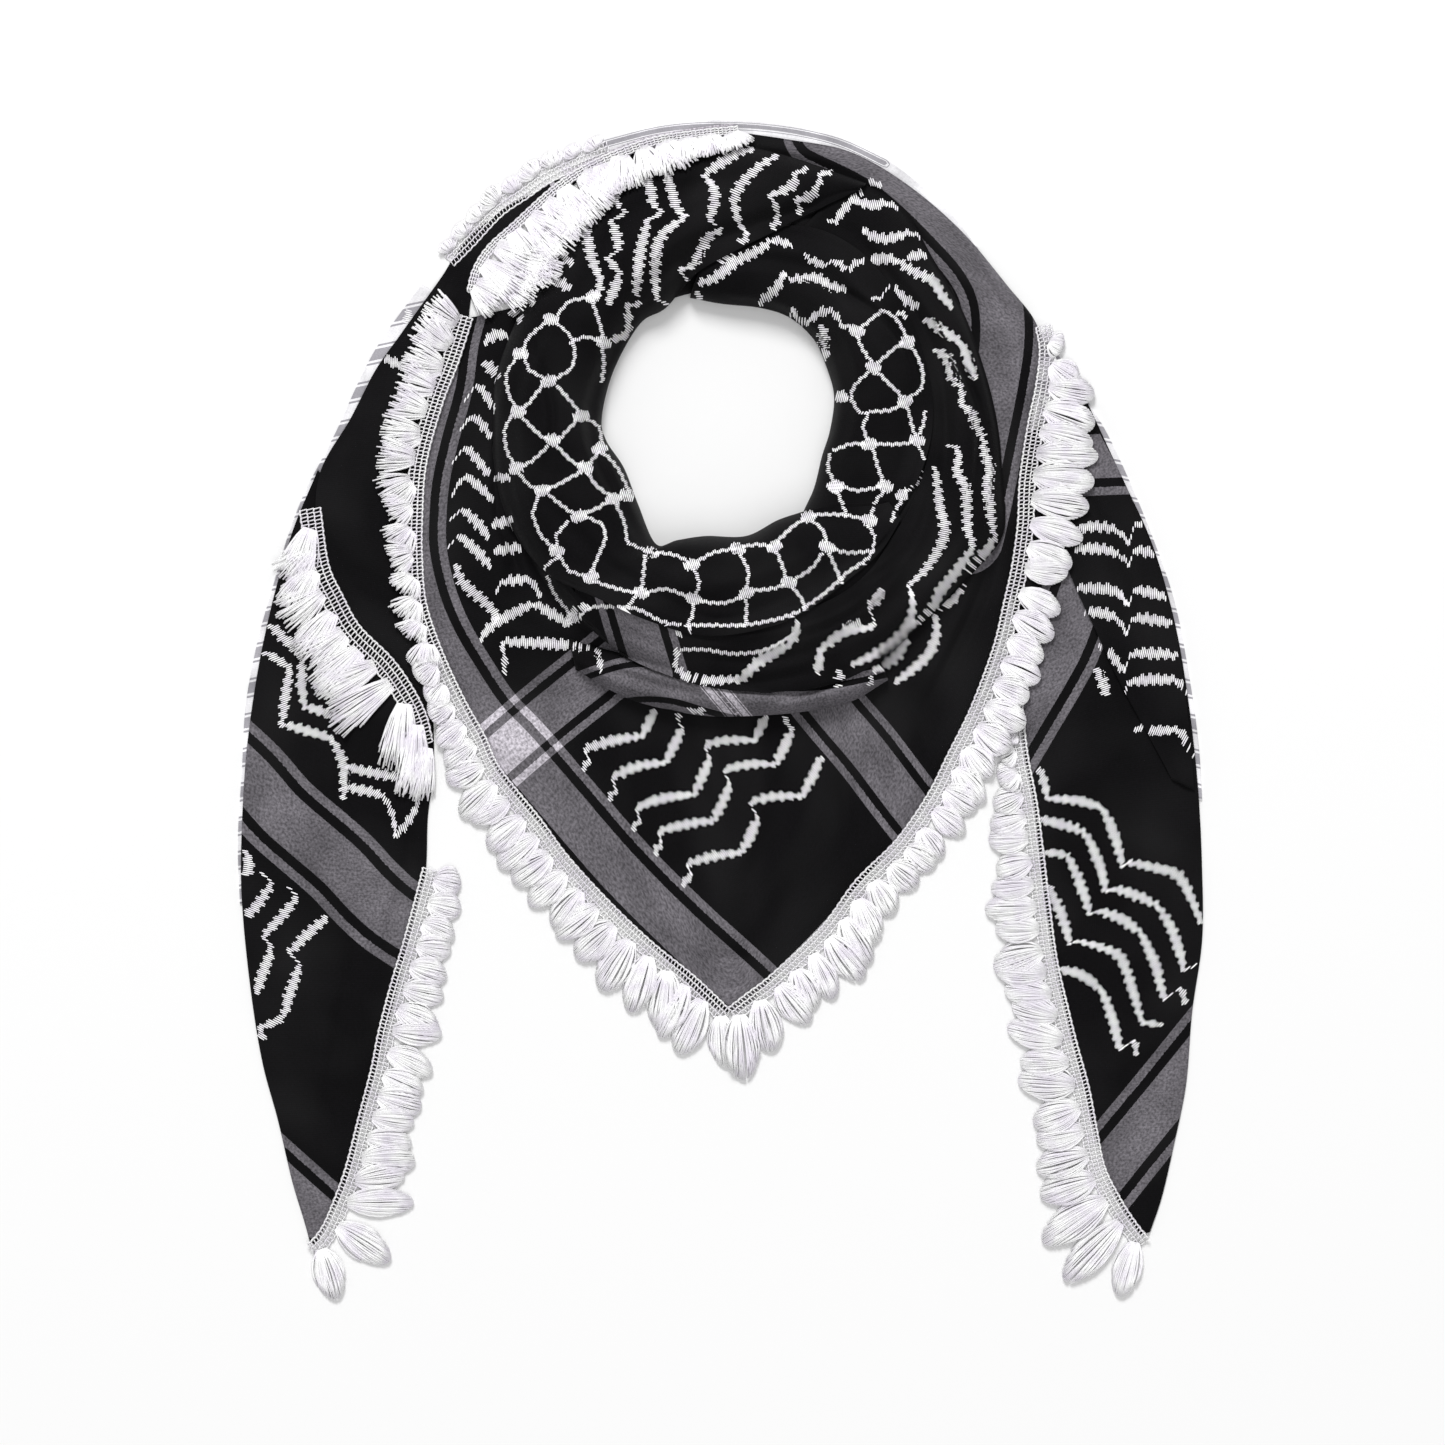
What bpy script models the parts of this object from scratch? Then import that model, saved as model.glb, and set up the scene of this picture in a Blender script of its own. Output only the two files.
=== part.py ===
"""Keffiyeh headscarf: a square cloth folded on its diagonal, wound round an open neck and laid flat.

Each stretch of the cloth that shows is a wall of its own, laid on the stretches under it. The hidden
layers of the winding are one rounded solid. The tassel trim is a plain solid of its reach.
"""

import math

import bmesh
import bpy
import numpy as np

MM = 0.001              # the tables below are in millimetres
CLOTH = 1.5             # wall of a stretch that lies flat: the folded cloth, two plies
ROLL_WALL = 2.2         # wall of a stretch that is gathered into a roll
BUNCHED_WALL = 5.0      # wall of the main roll, where the cloth is bunched into several plies
TRIM = 4.0              # thickness of the tassels as they lie
TAPE_LAP = 2.0          # how far the trim's tape lies on the edge of the cloth
SEAM = 0.3              # gap between pieces that touch
REACH = 330             # half the side of the square that holds the whole piece
SAMPLE = 0.7            # spacing of the points that feel for what lies under a piece
ROUNDS = 60             # most passes that settle a piece on what is under it
CLOSE = 0.02            # a shortfall in height that needs no further pass
HIDDEN_MEAN = 22.0      # height of the hidden folds, halfway round the neck
HIDDEN_SWELL = 7.5      # how much higher they are at the front than that

# One row per section across a stretch: its outer edge, its inner edge, and how high it crowns.
UNDER_PLY_LEFT = [
    # edge_x, edge_y, inner_x, inner_y, crown
    (-150, 214, -136, 206, 0),
    (-174, 180, -161, 171, 0),
    (-194, 138, -176, 128, 0),
    (-208, 111, -186, 101, 0),
    (-217, 88, -194, 76, 0),
    (-225, 61, -206, 51, 0),
    (-232, 36, -211, 31, 0),
    (-238, 4, -216, 1, 0),
    (-240, -29, -218, -29, 0),
    (-242, -64, -221, -64, 0),
    (-241, -96, -226, -96, 0),
]
UNDER_PLY_BACK = [
    # edge_x, edge_y, inner_x, inner_y, crown
    (-61, 286, -51, 268, 0),
    (-31, 293, -26, 274, 0),
    (-1, 296, 2, 276, 0),
    (29, 294, 26, 274, 0),
    (56, 288, 46, 268, 0),
    (79, 278, 64, 260, 0),
    (96, 266, 79, 248, 0),
    (114, 250, 94, 234, 0),
    (128, 232, 109, 218, 0),
]
UNDER_PLY_RIGHT = [
    # edge_x, edge_y, inner_x, inner_y, crown
    (160, 191, 144, 184, 0),
    (176, 166, 159, 156, 0),
    (191, 142, 174, 134, 0),
    (203, 117, 184, 111, 0),
    (215, 88, 196, 84, 0),
    (226, 56, 206, 54, 0),
    (233, 21, 214, 18, 0),
    (238, -14, 219, -14, 0),
    (240, -44, 224, -44, 0),
]
LEFT_TAIL = [
    # left_x, left_y, right_x, right_y, crown
    (-202, 121, -146, 56, 0),
    (-216, 86, -145, 16, 0),
    (-229, 36, -144, -26, 3),
    (-237, -14, -147, -52, 4),
    (-240, -59, -148, -78, 5),
    (-240, -94, -152, -94, 5),
    (-236, -136, -162, -136, 4),
    (-230, -174, -172, -174, 4),
    (-222, -204, -180, -202, 3),
    (-215, -234, -187, -232, 3),
    (-209, -254, -196, -252, 2),
    (-206, -265, -203, -266, 2),
]
RIGHT_TAIL = [
    # right_x, right_y, left_x, left_y, crown
    (182, 156, 139, 131, 0),
    (200, 117, 144, 86, 3),
    (215, 84, 146, 46, 4),
    (226, 46, 149, 11, 5),
    (233, 6, 151, -19, 5),
    (238, -39, 156, -46, 5),
    (240, -79, 160, -82, 5),
    (240, -114, 165, -116, 5),
    (235, -150, 172, -150, 4),
    (232, -186, 181, -187, 4),
    (226, -216, 188, -216, 3),
    (220, -242, 197, -242, 3),
    (214, -260, 209, -261, 2),
]
RIGHT_TAIL_FOLD = [
    # right_x, right_y, left_x, left_y, crown
    (184, 148, 159, 136, 5),
    (200, 117, 164, 96, 7),
    (214, 84, 175, 66, 8),
    (224, 51, 186, 42, 8),
    (230, 18, 198, 16, 7),
    (234, -14, 212, -10, 6),
    (236, -39, 225, -34, 5),
]
LEFT_FLAP = [
    # edge_x, edge_y, inner_x, inner_y, crown
    (6, 294, 9, 287, 0),
    (-36, 287, -34, 280, 0),
    (-66, 276, -62, 270, 0),
    (-88, 262, -85, 257, 0),
    (-110, 250, -104, 243, 0),
    (-128, 234, -120, 228, 0),
    (-144, 212, -125, 210, 0),
    (-172, 172, -130, 168, 0),
    (-186, 146, -136, 141, 3),
    (-200, 122, -137, 116, 4),
    (-203, 98, -138, 88, 5),
    (-198, 74, -140, 66, 5),
    (-191, 58, -141, 50, 5),
    (-166, 26, -144, 25, 4),
    (-153, 9, -146, 9, 4),
    (-148, -8, -146, -8, 4),
]
# The hidden folds run anticlockwise as an open ring, from the back over the left to the front.
HIDDEN_FOLDS = [
    # hole_x, hole_y, outer_x, outer_y
    (0, 208, 6, 271),
    (-26, 201, -36, 264),
    (-45, 190, -68, 238),
    (-58, 171, -91, 196),
    (-62, 148, -106, 156),
    (-54, 127, -107, 126),
    (-44, 105, -101, 94),
    (-35, 83, -81, 58),
    (-20, 84, -48, 34),
    (-1, 86, -11, 21),
    (19, 90, 29, 21),
    (38, 98, 69, 41),
    (47, 111, 102, 64),
    (52, 128, 119, 98),
    (56, 146, 119, 131),
    (58, 161, 114, 166),
    (52, 182, 102, 201),
    (38, 199, 79, 236),
    (20, 206, 44, 261),
    (4, 208, 14, 270),
]
FRONT_BIB = [
    # edge_x, edge_y, inner_x, inner_y, crown
    (-126, 197, -88, 206, 0),
    (-133, 175, -94, 184, 4),
    (-141, 154, -96, 156, 6),
    (-149, 123, -96, 128, 8),
    (-151, 83, -91, 98, 9),
    (-149, 56, -81, 71, 9),
    (-141, 30, -66, 51, 8),
    (-128, 2, -54, 36, 6),
    (-112, -29, -41, 24, 4),
    (-88, -59, -31, 16, 3),
    (-61, -90, -18, 11, 3),
    (-31, -120, -8, 10, 3),
    (3, -150, 6, 8, 3),
    (34, -122, 22, 10, 3),
    (59, -96, 34, 12, 3),
    (82, -70, 46, 16, 3),
    (102, -44, 59, 22, 3),
    (116, -16, 72, 31, 4),
    (129, 11, 84, 44, 5),
    (138, 36, 96, 56, 6),
    (145, 64, 112, 76, 7),
    (149, 91, 122, 98, 8),
    (150, 116, 126, 121, 8),
    (154, 144, 124, 146, 8),
    (158, 168, 118, 174, 8),
]
BACK_BAND = [
    # edge_x, edge_y, inner_x, inner_y, crown
    (158, 169, 118, 175, 8),
    (158, 192, 108, 206, 8),
    (142, 214, 96, 231, 8),
    (119, 241, 79, 248, 6),
    (92, 264, 62, 261, 5),
    (64, 280, 39, 268, 4),
    (34, 286, 20, 274, 3),
    (6, 290, 3, 276, 2),
]
FRONT_ROLL = [
    # inner_x, inner_y, outer_x, outer_y, crown
    (-76, 36, -73, 21, 12),
    (-57, 31, -50, 8, 15),
    (-36, 26, -31, 2, 17),
    (-11, 24, -8, -2, 18),
    (14, 20, 15, -2, 18),
    (36, 22, 40, 0, 18),
    (56, 28, 64, 5, 17),
    (75, 35, 83, 16, 15),
]
OUTER_WRAP = [
    # inner_x, inner_y, outer_x, outer_y, crown
    (39, 240, 64, 266, 12),
    (59, 227, 88, 254, 15),
    (78, 212, 106, 225, 18),
    (92, 193, 121, 198, 20),
    (100, 170, 132, 167, 21),
    (104, 147, 138, 140, 22),
    (102, 126, 140, 114, 22),
    (95, 105, 140, 88, 22),
    (84, 86, 122, 66, 22),
    (73, 70, 101, 45, 22),
    (58, 58, 78, 25, 22),
    (39, 50, 55, 14, 23),
    (15, 44, 27, 10, 24),
    (-10, 44, -5, 12, 24),
    (-34, 50, -29, 19, 23),
    (-55, 61, -50, 29, 21),
    (-75, 75, -71, 46, 18),
]
INNER_COLLAR = [
    # hole_x, hole_y, outer_x, outer_y, crown
    (-16, 207, -4, 240, 17),
    (0, 204, 20, 242, 19),
    (19, 202, 46, 241, 21),
    (34, 197, 68, 230, 23),
    (46, 186, 84, 212, 24),
    (52, 173, 96, 191, 25),
    (56, 158, 103, 168, 26),
    (54, 141, 105, 147, 26),
    (50, 128, 102, 128, 26),
    (46, 112, 95, 111, 25),
    (40, 98, 86, 96, 23),
    (39, 86, 75, 84, 20),
]
MAIN_WRAP = [
    # inner_x, inner_y, outer_x, outer_y, crown
    (68, 260, 72, 264, 12),
    (43, 248, 50, 272, 17),
    (24, 238, 32, 278, 20),
    (8, 230, 15, 282, 22),
    (-13, 218, -4, 286, 24),
    (-28, 202, -34, 278, 25),
    (-41, 194, -66, 258, 26),
    (-54, 171, -94, 214, 28),
    (-60, 148, -112, 171, 30),
    (-58, 136, -114, 146, 30),
    (-49, 122, -113, 118, 30),
    (-42, 104, -105, 92, 31),
    (-33, 84, -87, 69, 32),
    (-22, 86, -61, 56, 32),
    (-8, 88, -36, 45, 33),
    (12, 88, -11, 38, 34),
    (28, 96, 15, 40, 34),
    (41, 100, 40, 49, 33),
    (55, 102, 62, 65, 31),
    (70, 102, 79, 80, 27),
    (83, 104, 89, 96, 20),
]
# One row per section across a trim: the edge of the cloth and the tassels' ends.
BIB_TRIM_LEFT = [
    # edge_x, edge_y, end_x, end_y
    (-126, 197, -145, 206),
    (-133, 175, -157, 180),
    (-141, 154, -164, 157),
    (-149, 124, -170, 118),
    (-151, 96, -166, 88),
    (-151, 76, -161, 64),
    (-149, 54, -156, 40),
    (-141, 30, -151, 17),
    (-130, 6, -145, -6),
    (-120, -12, -138, -26),
    (-112, -29, -134, -44),
    (-92, -54, -116, -72),
    (-78, -73, -100, -92),
    (-57, -96, -76, -119),
    (-36, -116, -50, -148),
    (-16, -132, -25, -166),
    (-4, -143, -10, -175),
    (3, -150, 5, -189),
]
BIB_TRIM_RIGHT = [
    # edge_x, edge_y, end_x, end_y
    (4, -149, 7, -189),
    (13, -142, 23, -174),
    (26, -132, 39, -157),
    (51, -108, 66, -136),
    (68, -85, 84, -106),
    (88, -65, 105, -82),
    (104, -42, 122, -59),
    (114, -22, 134, -39),
    (124, -2, 145, -19),
    (132, 18, 154, 2),
    (138, 36, 162, 22),
    (142, 54, 170, 42),
    (146, 72, 174, 64),
    (149, 94, 179, 84),
    (150, 116, 186, 110),
    (154, 143, 188, 132),
    (158, 162, 185, 152),
    (160, 180, 176, 171),
    (158, 192, 165, 187),
]
LEFT_TAIL_TRIM = [
    # edge_x, edge_y, end_x, end_y
    (-148, -78, -131, -80),
    (-152, -94, -132, -102),
    (-158, -116, -134, -123),
    (-164, -136, -138, -146),
    (-170, -159, -140, -166),
    (-174, -179, -146, -186),
    (-180, -202, -152, -208),
    (-187, -229, -155, -232),
    (-194, -248, -158, -258),
    (-198, -257, -171, -276),
    (-202, -263, -186, -289),
    (-206, -267, -200, -295),
]
RIGHT_TAIL_TRIM = [
    # edge_x, edge_y, end_x, end_y
    (148, 11, 140, -2),
    (151, -19, 138, -26),
    (156, -46, 135, -54),
    (159, -69, 134, -74),
    (162, -94, 134, -102),
    (166, -124, 136, -126),
    (172, -150, 140, -146),
    (176, -166, 144, -166),
    (182, -188, 148, -190),
    (186, -209, 154, -214),
    (190, -228, 159, -239),
    (198, -244, 164, -269),
    (205, -255, 179, -293),
    (212, -264, 202, -286),
]
FLAP_TRIM = [
    # edge_x, edge_y, end_x, end_y
    (-202, 102, -218, 76),
    (-198, 74, -222, 56),
    (-191, 58, -214, 36),
    (-182, 42, -204, 18),
    (-166, 26, -191, -2),
    (-156, 12, -177, -22),
    (-149, -2, -162, -39),
    (-146, -15, -148, -46),
]
BACK_TRIM_INNER = [
    # edge_x, edge_y, end_x, end_y
    (9, 287, 12, 281),
    (-11, 284, -8, 276),
    (-34, 280, -28, 268),
    (-62, 270, -54, 255),
    (-81, 260, -65, 241),
    (-104, 243, -80, 224),
    (-116, 232, -88, 211),
    (-123, 221, -101, 204),
    (-126, 210, -115, 201),
]
BACK_TRIM_OUTER = [
    # edge_x, edge_y, end_x, end_y
    (-135, 224, -142, 231),
    (-125, 234, -134, 242),
    (-111, 249, -120, 258),
    (-98, 258, -107, 268),
    (-88, 265, -96, 277),
    (-74, 272, -80, 283),
    (-56, 279, -61, 288),
]
# Creases run along a stretch: troughs have a depth, ridges a negative one.
MAIN_WRAP_CREASES = [
    # from_s, to_s, across, half_width, depth
    (0.30, 0.62, 0.16, 0.10, 3.5),
    (0.12, 0.45, 0.62, 0.10, 3.0),
    (0.55, 0.95, 0.78, 0.10, 3.0),
]
OUTER_WRAP_CREASES = [
    # from_s, to_s, across, half_width, depth
    (0.20, 0.60, 0.45, 0.16, 3.5),
    (0.50, 0.95, 0.55, 0.16, 3.0),
]
FRONT_BIB_CREASES = [
    # from_s, to_s, across, half_width, depth
    (0.02, 0.34, 0.62, 0.12, 4.0),
    (0.72, 0.98, 0.60, 0.16, 3.0),
]

COLOURS = {
    "cloth": (0.012, 0.011, 0.013, 0.85, 0.0),
    "reverse": (0.72, 0.71, 0.74, 0.85, 0.0),
    "trim": (0.86, 0.83, 0.90, 0.80, 0.0),
}


class Pile:
    """How high the pile stands so far, on a grid of one-millimetre cells, kept for each piece."""

    def __init__(self):
        self.tops = {}

    def support(self, beside):
        """The height of everything but the pieces beside, each point taking its neighbours' highest."""
        height = np.zeros((2 * REACH, 2 * REACH))
        for name, top in self.tops.items():
            if name not in beside:
                height = np.maximum(height, top)
        grown = height.copy()
        for step_y in (-1, 0, 1):
            for step_x in (-1, 0, 1):
                grown = np.maximum(grown, np.roll(height, (step_y, step_x), (0, 1)))
        return grown

    def add(self, name, points, triangles):
        top = np.zeros((2 * REACH, 2 * REACH))
        for triangle in triangles:
            spread = shares(points[triangle]) @ points[triangle]
            np.maximum.at(top, cells(spread), spread[:, 2])
        self.tops[name] = top


def shares(corners):
    """Each point of an even spread over a triangle, as its shares of the three corners."""
    sides = corners - np.roll(corners, 1, axis=0)
    count = max(1, int(math.ceil(np.linalg.norm(sides[:, :2], axis=1).max() / SAMPLE)))
    first, second = np.meshgrid(np.arange(count + 1), np.arange(count + 1))
    inside = (first + second) <= count
    u = first[inside] / count
    v = second[inside] / count
    return np.column_stack([1 - u - v, u, v])


def cells(points):
    """The rows and columns of the grid cells that points fall in."""
    index = np.floor(points[:, :2] + REACH).astype(int)
    return index[:, 1], index[:, 0]


def rest_on(under, triangles, floor):
    """Lifts the corners of an underside, each by its share, until no point of it is below the floor."""
    spreads = []
    for triangle in triangles:
        share = shares(under[triangle])
        spreads.append((triangle, share, floor[cells(share @ under[triangle])]))
    for _ in range(ROUNDS):
        most = 0
        for triangle, share, needed in spreads:
            short = needed - share @ under[triangle, 2]
            worst = short.argmax()
            if short[worst] > 0:
                under[triangle, 2] += short[worst] * share[worst] / (share[worst] @ share[worst])
                most = max(most, short[worst])
        if most < CLOSE:
            break
    for triangle, share, needed in spreads:
        under[triangle, 2] += max(0, (needed - share @ under[triangle, 2]).max())


def smooth_rows(table, per_row):
    """Rows of a table, with per_row sections for each row on a smooth curve through them."""
    rows = np.array(table, float)
    padded = np.vstack([2 * rows[0] - rows[1], rows, 2 * rows[-1] - rows[-2]])
    sections = []
    for i in range(1, len(rows)):
        before, start, end, after = padded[i - 1:i + 3]
        for k in range(per_row):
            f = k / per_row
            bend = (2 * before - 5 * start + 4 * end - after) * f + (3 * start - before - 3 * end + after) * f * f
            sections.append(start + 0.5 * f * (end - before + bend))
    sections.append(rows[-1])
    return np.array(sections)


def pieces_of_grid(sections, across):
    """A triangulated grid of that many sections and points across, with each point's place in it."""
    mesh = bmesh.new()
    bmesh.ops.create_grid(mesh, x_segments=across - 1, y_segments=sections - 1, size=0.5)
    bmesh.ops.triangulate(mesh, faces=mesh.faces[:], quad_method="FIXED")
    mesh.verts.ensure_lookup_table()
    place = np.array([vert.co[:2] for vert in mesh.verts], float) + 0.5
    triangles = np.array([[vert.index for vert in face.verts] for face in mesh.faces])
    return mesh, place, triangles


def arch(t, fullness):
    """A rounded rise over the width of a stretch: 0 at both edges, 1 at the middle."""
    return np.power(np.clip(1 - np.abs(2 * t - 1) ** fullness, 0, 1), 0.5)


def crease_depth(creases, s, t):
    """How far the creases of a stretch press it down at s along and t across."""
    depth = np.zeros(len(s))
    for start, end, across, half_width, most in creases:
        along = np.clip(1 - np.abs(2 * (s - start) / (end - start) - 1), 0, 1)
        beside = np.clip(1 - np.abs(t - across) / half_width, 0, 1)
        depth += most * np.sqrt(along) * beside * beside * (3 - 2 * beside)
    return depth


def closed_wall(name, mesh, top, bottom, material):
    """A closed wall between two surfaces on one grid, as an object in millimetres."""
    upper = mesh.verts[:]
    for vert, point in zip(upper, top):
        vert.co = point
    made = bmesh.ops.extrude_face_region(mesh, geom=mesh.faces[:], use_keep_orig=True)
    lower = [item for item in made["geom"] if isinstance(item, bmesh.types.BMVert)]
    place = {tuple(vert.co): point for vert, point in zip(upper, bottom)}
    for vert in lower:
        vert.co = place[tuple(vert.co)]
    bmesh.ops.recalc_face_normals(mesh, faces=mesh.faces[:])
    data = bpy.data.meshes.new(name)
    mesh.to_mesh(data)
    mesh.free()
    data.materials.append(material)
    piece = bpy.data.objects.new(name, data)
    scarf.objects.link(piece)
    return piece


def lay(name, table, material, wall=CLOTH, per_row=2, across=7, creases=(), beside=(), fullness=2.4,
        solid=False):
    """Lays one stretch on the pile: a wall that follows what is under it and crowns as its table says."""
    rows = smooth_rows(table, per_row)
    mesh, place, triangles = pieces_of_grid(len(rows), across)
    t = 0.5 - 0.5 * np.cos(math.pi * place[:, 0])
    s = place[:, 1]
    row = rows[np.rint(s * (len(rows) - 1)).astype(int)]
    flat = row[:, :2] * (1 - t)[:, None] + row[:, 2:4] * t[:, None]
    crown = row[:, 4] * arch(t, fullness) - crease_depth(creases, s, t)
    width = np.linalg.norm(row[:, 2:4] - row[:, :2], axis=1)
    lean = row[:, 4] * np.abs(2 * t - 1) ** (fullness - 1) * fullness / np.maximum(width, 1)
    thickness = wall * np.sqrt(1 + lean * lean)
    if solid:
        thickness = crown + wall
    support = pile.support(beside)
    bottom = np.maximum(0, crown - thickness)
    under = np.column_stack([flat, bottom])
    rest_on(under, triangles, np.where(support > 0, support + SEAM, 0))
    over = under.copy()
    over[:, 2] = np.maximum(crown, under[:, 2] + wall)
    pile.add(name, over, triangles)
    return closed_wall(name, mesh, over, under, material)


def trim_rows(table, thickness):
    """The sections of a trim, from its tape on the cloth's edge out to the tassels' ends."""
    rows = []
    for edge_x, edge_y, end_x, end_y in table:
        length = math.hypot(end_x - edge_x, end_y - edge_y)
        lap_x = (edge_x - end_x) / length * TAPE_LAP
        lap_y = (edge_y - end_y) / length * TAPE_LAP
        rows.append((edge_x + lap_x, edge_y + lap_y, end_x, end_y, thickness))
    return rows


def hidden_rows(table):
    """The sections of the hidden folds, which stand highest at the front of the neck."""
    middle_y = sum(row[1] for row in table) / len(table)
    half = max(row[1] for row in table) - middle_y
    rows = []
    for hole_x, hole_y, outer_x, outer_y in table:
        crown = HIDDEN_MEAN + HIDDEN_SWELL * (middle_y - hole_y) / half
        rows.append((hole_x, hole_y, outer_x, outer_y, crown))
    return rows


def make_material(name, red, green, blue, roughness, metallic):
    material = bpy.data.materials.new(name)
    material.use_nodes = True
    shader = material.node_tree.nodes["Principled BSDF"]
    shader.inputs["Base Color"].default_value = (red, green, blue, 1)
    shader.inputs["Roughness"].default_value = roughness
    shader.inputs["Metallic"].default_value = metallic
    return material


def material_for(piece, kind):
    return make_material(piece + "_" + kind, *COLOURS[kind])


def settle_on_origin(pieces):
    """Centres the whole piece over the origin and turns its millimetres into metres."""
    corners = np.array([vert.co for piece in pieces for vert in piece.data.vertices], float)
    middle = (corners.min(0) + corners.max(0)) / 2
    for piece in pieces:
        for vert in piece.data.vertices:
            vert.co = (
                (vert.co.x - middle[0]) * MM,
                (vert.co.y - middle[1]) * MM,
                vert.co.z * MM,
            )


def lay_cloth(name, table, **options):
    return lay(name, table, material_for(name, "cloth"), **options)


def lay_reverse(name, table):
    return lay(name, table, material_for(name, "reverse"), across=3)


def lay_trim(name, table):
    return lay(name, trim_rows(table, TRIM), material_for(name, "trim"), wall=TRIM - 1, per_row=1, across=5)


for old in list(bpy.data.objects):
    bpy.data.objects.remove(old)
scarf = bpy.data.collections.new("keffiyeh_headscarf")
bpy.context.scene.collection.children.link(scarf)
pile = Pile()

made = [
    lay_reverse("under_ply_left", UNDER_PLY_LEFT),
    lay_reverse("under_ply_back", UNDER_PLY_BACK),
    lay_reverse("under_ply_right", UNDER_PLY_RIGHT),
    lay_trim("back_trim_outer", BACK_TRIM_OUTER),
    lay_cloth("left_tail", LEFT_TAIL),
    lay_trim("left_tail_trim", LEFT_TAIL_TRIM),
    lay_cloth("right_tail", RIGHT_TAIL),
    lay_trim("right_tail_trim", RIGHT_TAIL_TRIM),
    lay_cloth("right_tail_fold", RIGHT_TAIL_FOLD, across=5),
    lay_cloth("left_flap", LEFT_FLAP, across=5),
    lay_trim("flap_trim", FLAP_TRIM),
    lay_cloth("hidden_folds", hidden_rows(HIDDEN_FOLDS), solid=True, per_row=1),
    lay_cloth("front_bib", FRONT_BIB, creases=FRONT_BIB_CREASES, per_row=1, across=9),
    lay_cloth("back_band", BACK_BAND, beside=("front_bib",), per_row=2),
    lay_trim("bib_trim_left", BIB_TRIM_LEFT),
    lay_trim("bib_trim_right", BIB_TRIM_RIGHT),
    lay_cloth("front_roll", FRONT_ROLL, wall=ROLL_WALL, across=5),
    lay_cloth("outer_wrap", OUTER_WRAP, wall=ROLL_WALL, creases=OUTER_WRAP_CREASES),
    lay_cloth("inner_collar", INNER_COLLAR, wall=ROLL_WALL),
    lay_cloth("main_wrap", MAIN_WRAP, wall=BUNCHED_WALL, creases=MAIN_WRAP_CREASES, across=9),
    lay_trim("back_trim_inner", BACK_TRIM_INNER),
]
settle_on_origin(made)
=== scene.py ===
"""Keffiyeh headscarf: the looks of the wound square cloth, its woven figure and its tassel trim.

Each stretch of the cloth is a thin shell on the form of its solid, laid over the stretches under it.
The figure is woven of white floats that lie on the cloth, and the grey bands are in the weave itself.
"""

import math

import bmesh
import bpy
import numpy as np
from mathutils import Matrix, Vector


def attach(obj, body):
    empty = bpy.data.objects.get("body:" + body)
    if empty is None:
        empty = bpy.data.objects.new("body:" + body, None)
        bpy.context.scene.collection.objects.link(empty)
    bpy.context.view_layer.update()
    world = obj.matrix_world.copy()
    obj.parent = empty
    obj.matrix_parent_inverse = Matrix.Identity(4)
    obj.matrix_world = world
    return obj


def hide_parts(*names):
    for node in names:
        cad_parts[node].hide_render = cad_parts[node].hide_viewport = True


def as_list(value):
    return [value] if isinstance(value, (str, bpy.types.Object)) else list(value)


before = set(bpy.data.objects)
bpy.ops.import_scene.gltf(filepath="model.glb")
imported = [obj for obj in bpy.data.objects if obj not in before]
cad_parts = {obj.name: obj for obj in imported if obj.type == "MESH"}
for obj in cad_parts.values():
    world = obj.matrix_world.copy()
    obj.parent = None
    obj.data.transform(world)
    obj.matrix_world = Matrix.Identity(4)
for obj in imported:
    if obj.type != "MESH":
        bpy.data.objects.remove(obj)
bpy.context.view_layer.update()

MM = 0.001              # the tables below are in millimetres
SHIFT_X = 1.0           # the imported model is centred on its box, this far from the tables' own origin
SHIFT_Y = -0.5
REACH = 330             # half the side of the square that holds the whole piece
CLOTH = 0.8             # thickness of the cloth as it shows
GAP = 0.5               # air between the layers
SPACING = 2.2           # distance between the points of a stretch
SECTIONS = 24           # sections for each row of a table, on a smooth curve through the rows
DRAPE_PASSES = 9        # how far the cloth bridges from a step under it
HIDDEN_MEAN = 20.5      # height of the hidden folds, halfway round the neck
HIDDEN_SWELL = 7.5      # how much higher they are at the front than that
HIDDEN_INSET = 5.0      # how far the hidden folds stand back from the neck hole
FLOAT_PITCH = 0.95      # distance between the white floats of the figure
FLOAT_RISE = 0.3        # how far a float stands off the cloth
KNOT_FLOATS = 9         # floats in a knot of the net
KNOT_HALF = 4.1         # half a knot's length, and half the length of its longest float
KNOT_REACH = 2.9
CUSP = 38               # a line of the figure that turns by more degrees than this starts a new run
FULLNESS = 2.4          # how steeply a roll rises from its edges: higher is flatter on top
UNEVENNESS = 0.5        # how far the upper stretches swell and sink by themselves
BAND_REACH = 60.0       # past this distance a band no longer matters
BAND_HALF = 11.5        # half the width of a band's wide stripe
STRIPE_FROM = 16.0      # the thin stripe beside it starts and ends here, from the band's middle
STRIPE_TO = 20.0
THREAD_PITCH = 1.1      # spacing of the weave as drawn, about twice the real one so that it shows
TAPE_WIDTH = 6.5        # width of the openwork tape that carries the tassels
TAPE_LAP = 1.4          # how far the tape laps onto the cloth
LADDER_STEP = 1.9       # distance between the rungs of the tape
SELVEDGE_CORD = 0.62    # radius of the tape's outer cords, then of its inner cords and its rungs
INNER_CORD = 0.5
RUNG = 0.4
TASSEL_PITCH = 11.5     # distance between tassels
LOOPED_LEAN = 14        # degrees that a looped tassel may lean either way
CUT_LEAN = 24           # and a cut one
TRIM_GAP = 0.4          # air under a trim
STRAND = 0.46           # radius of a strand, which stands for two or three real ones
VIEW_WIDTH = 722.5      # width of what the camera sees
LENS = 180.0
SENSOR = 36.0
chance = np.random.default_rng(11)

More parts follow.
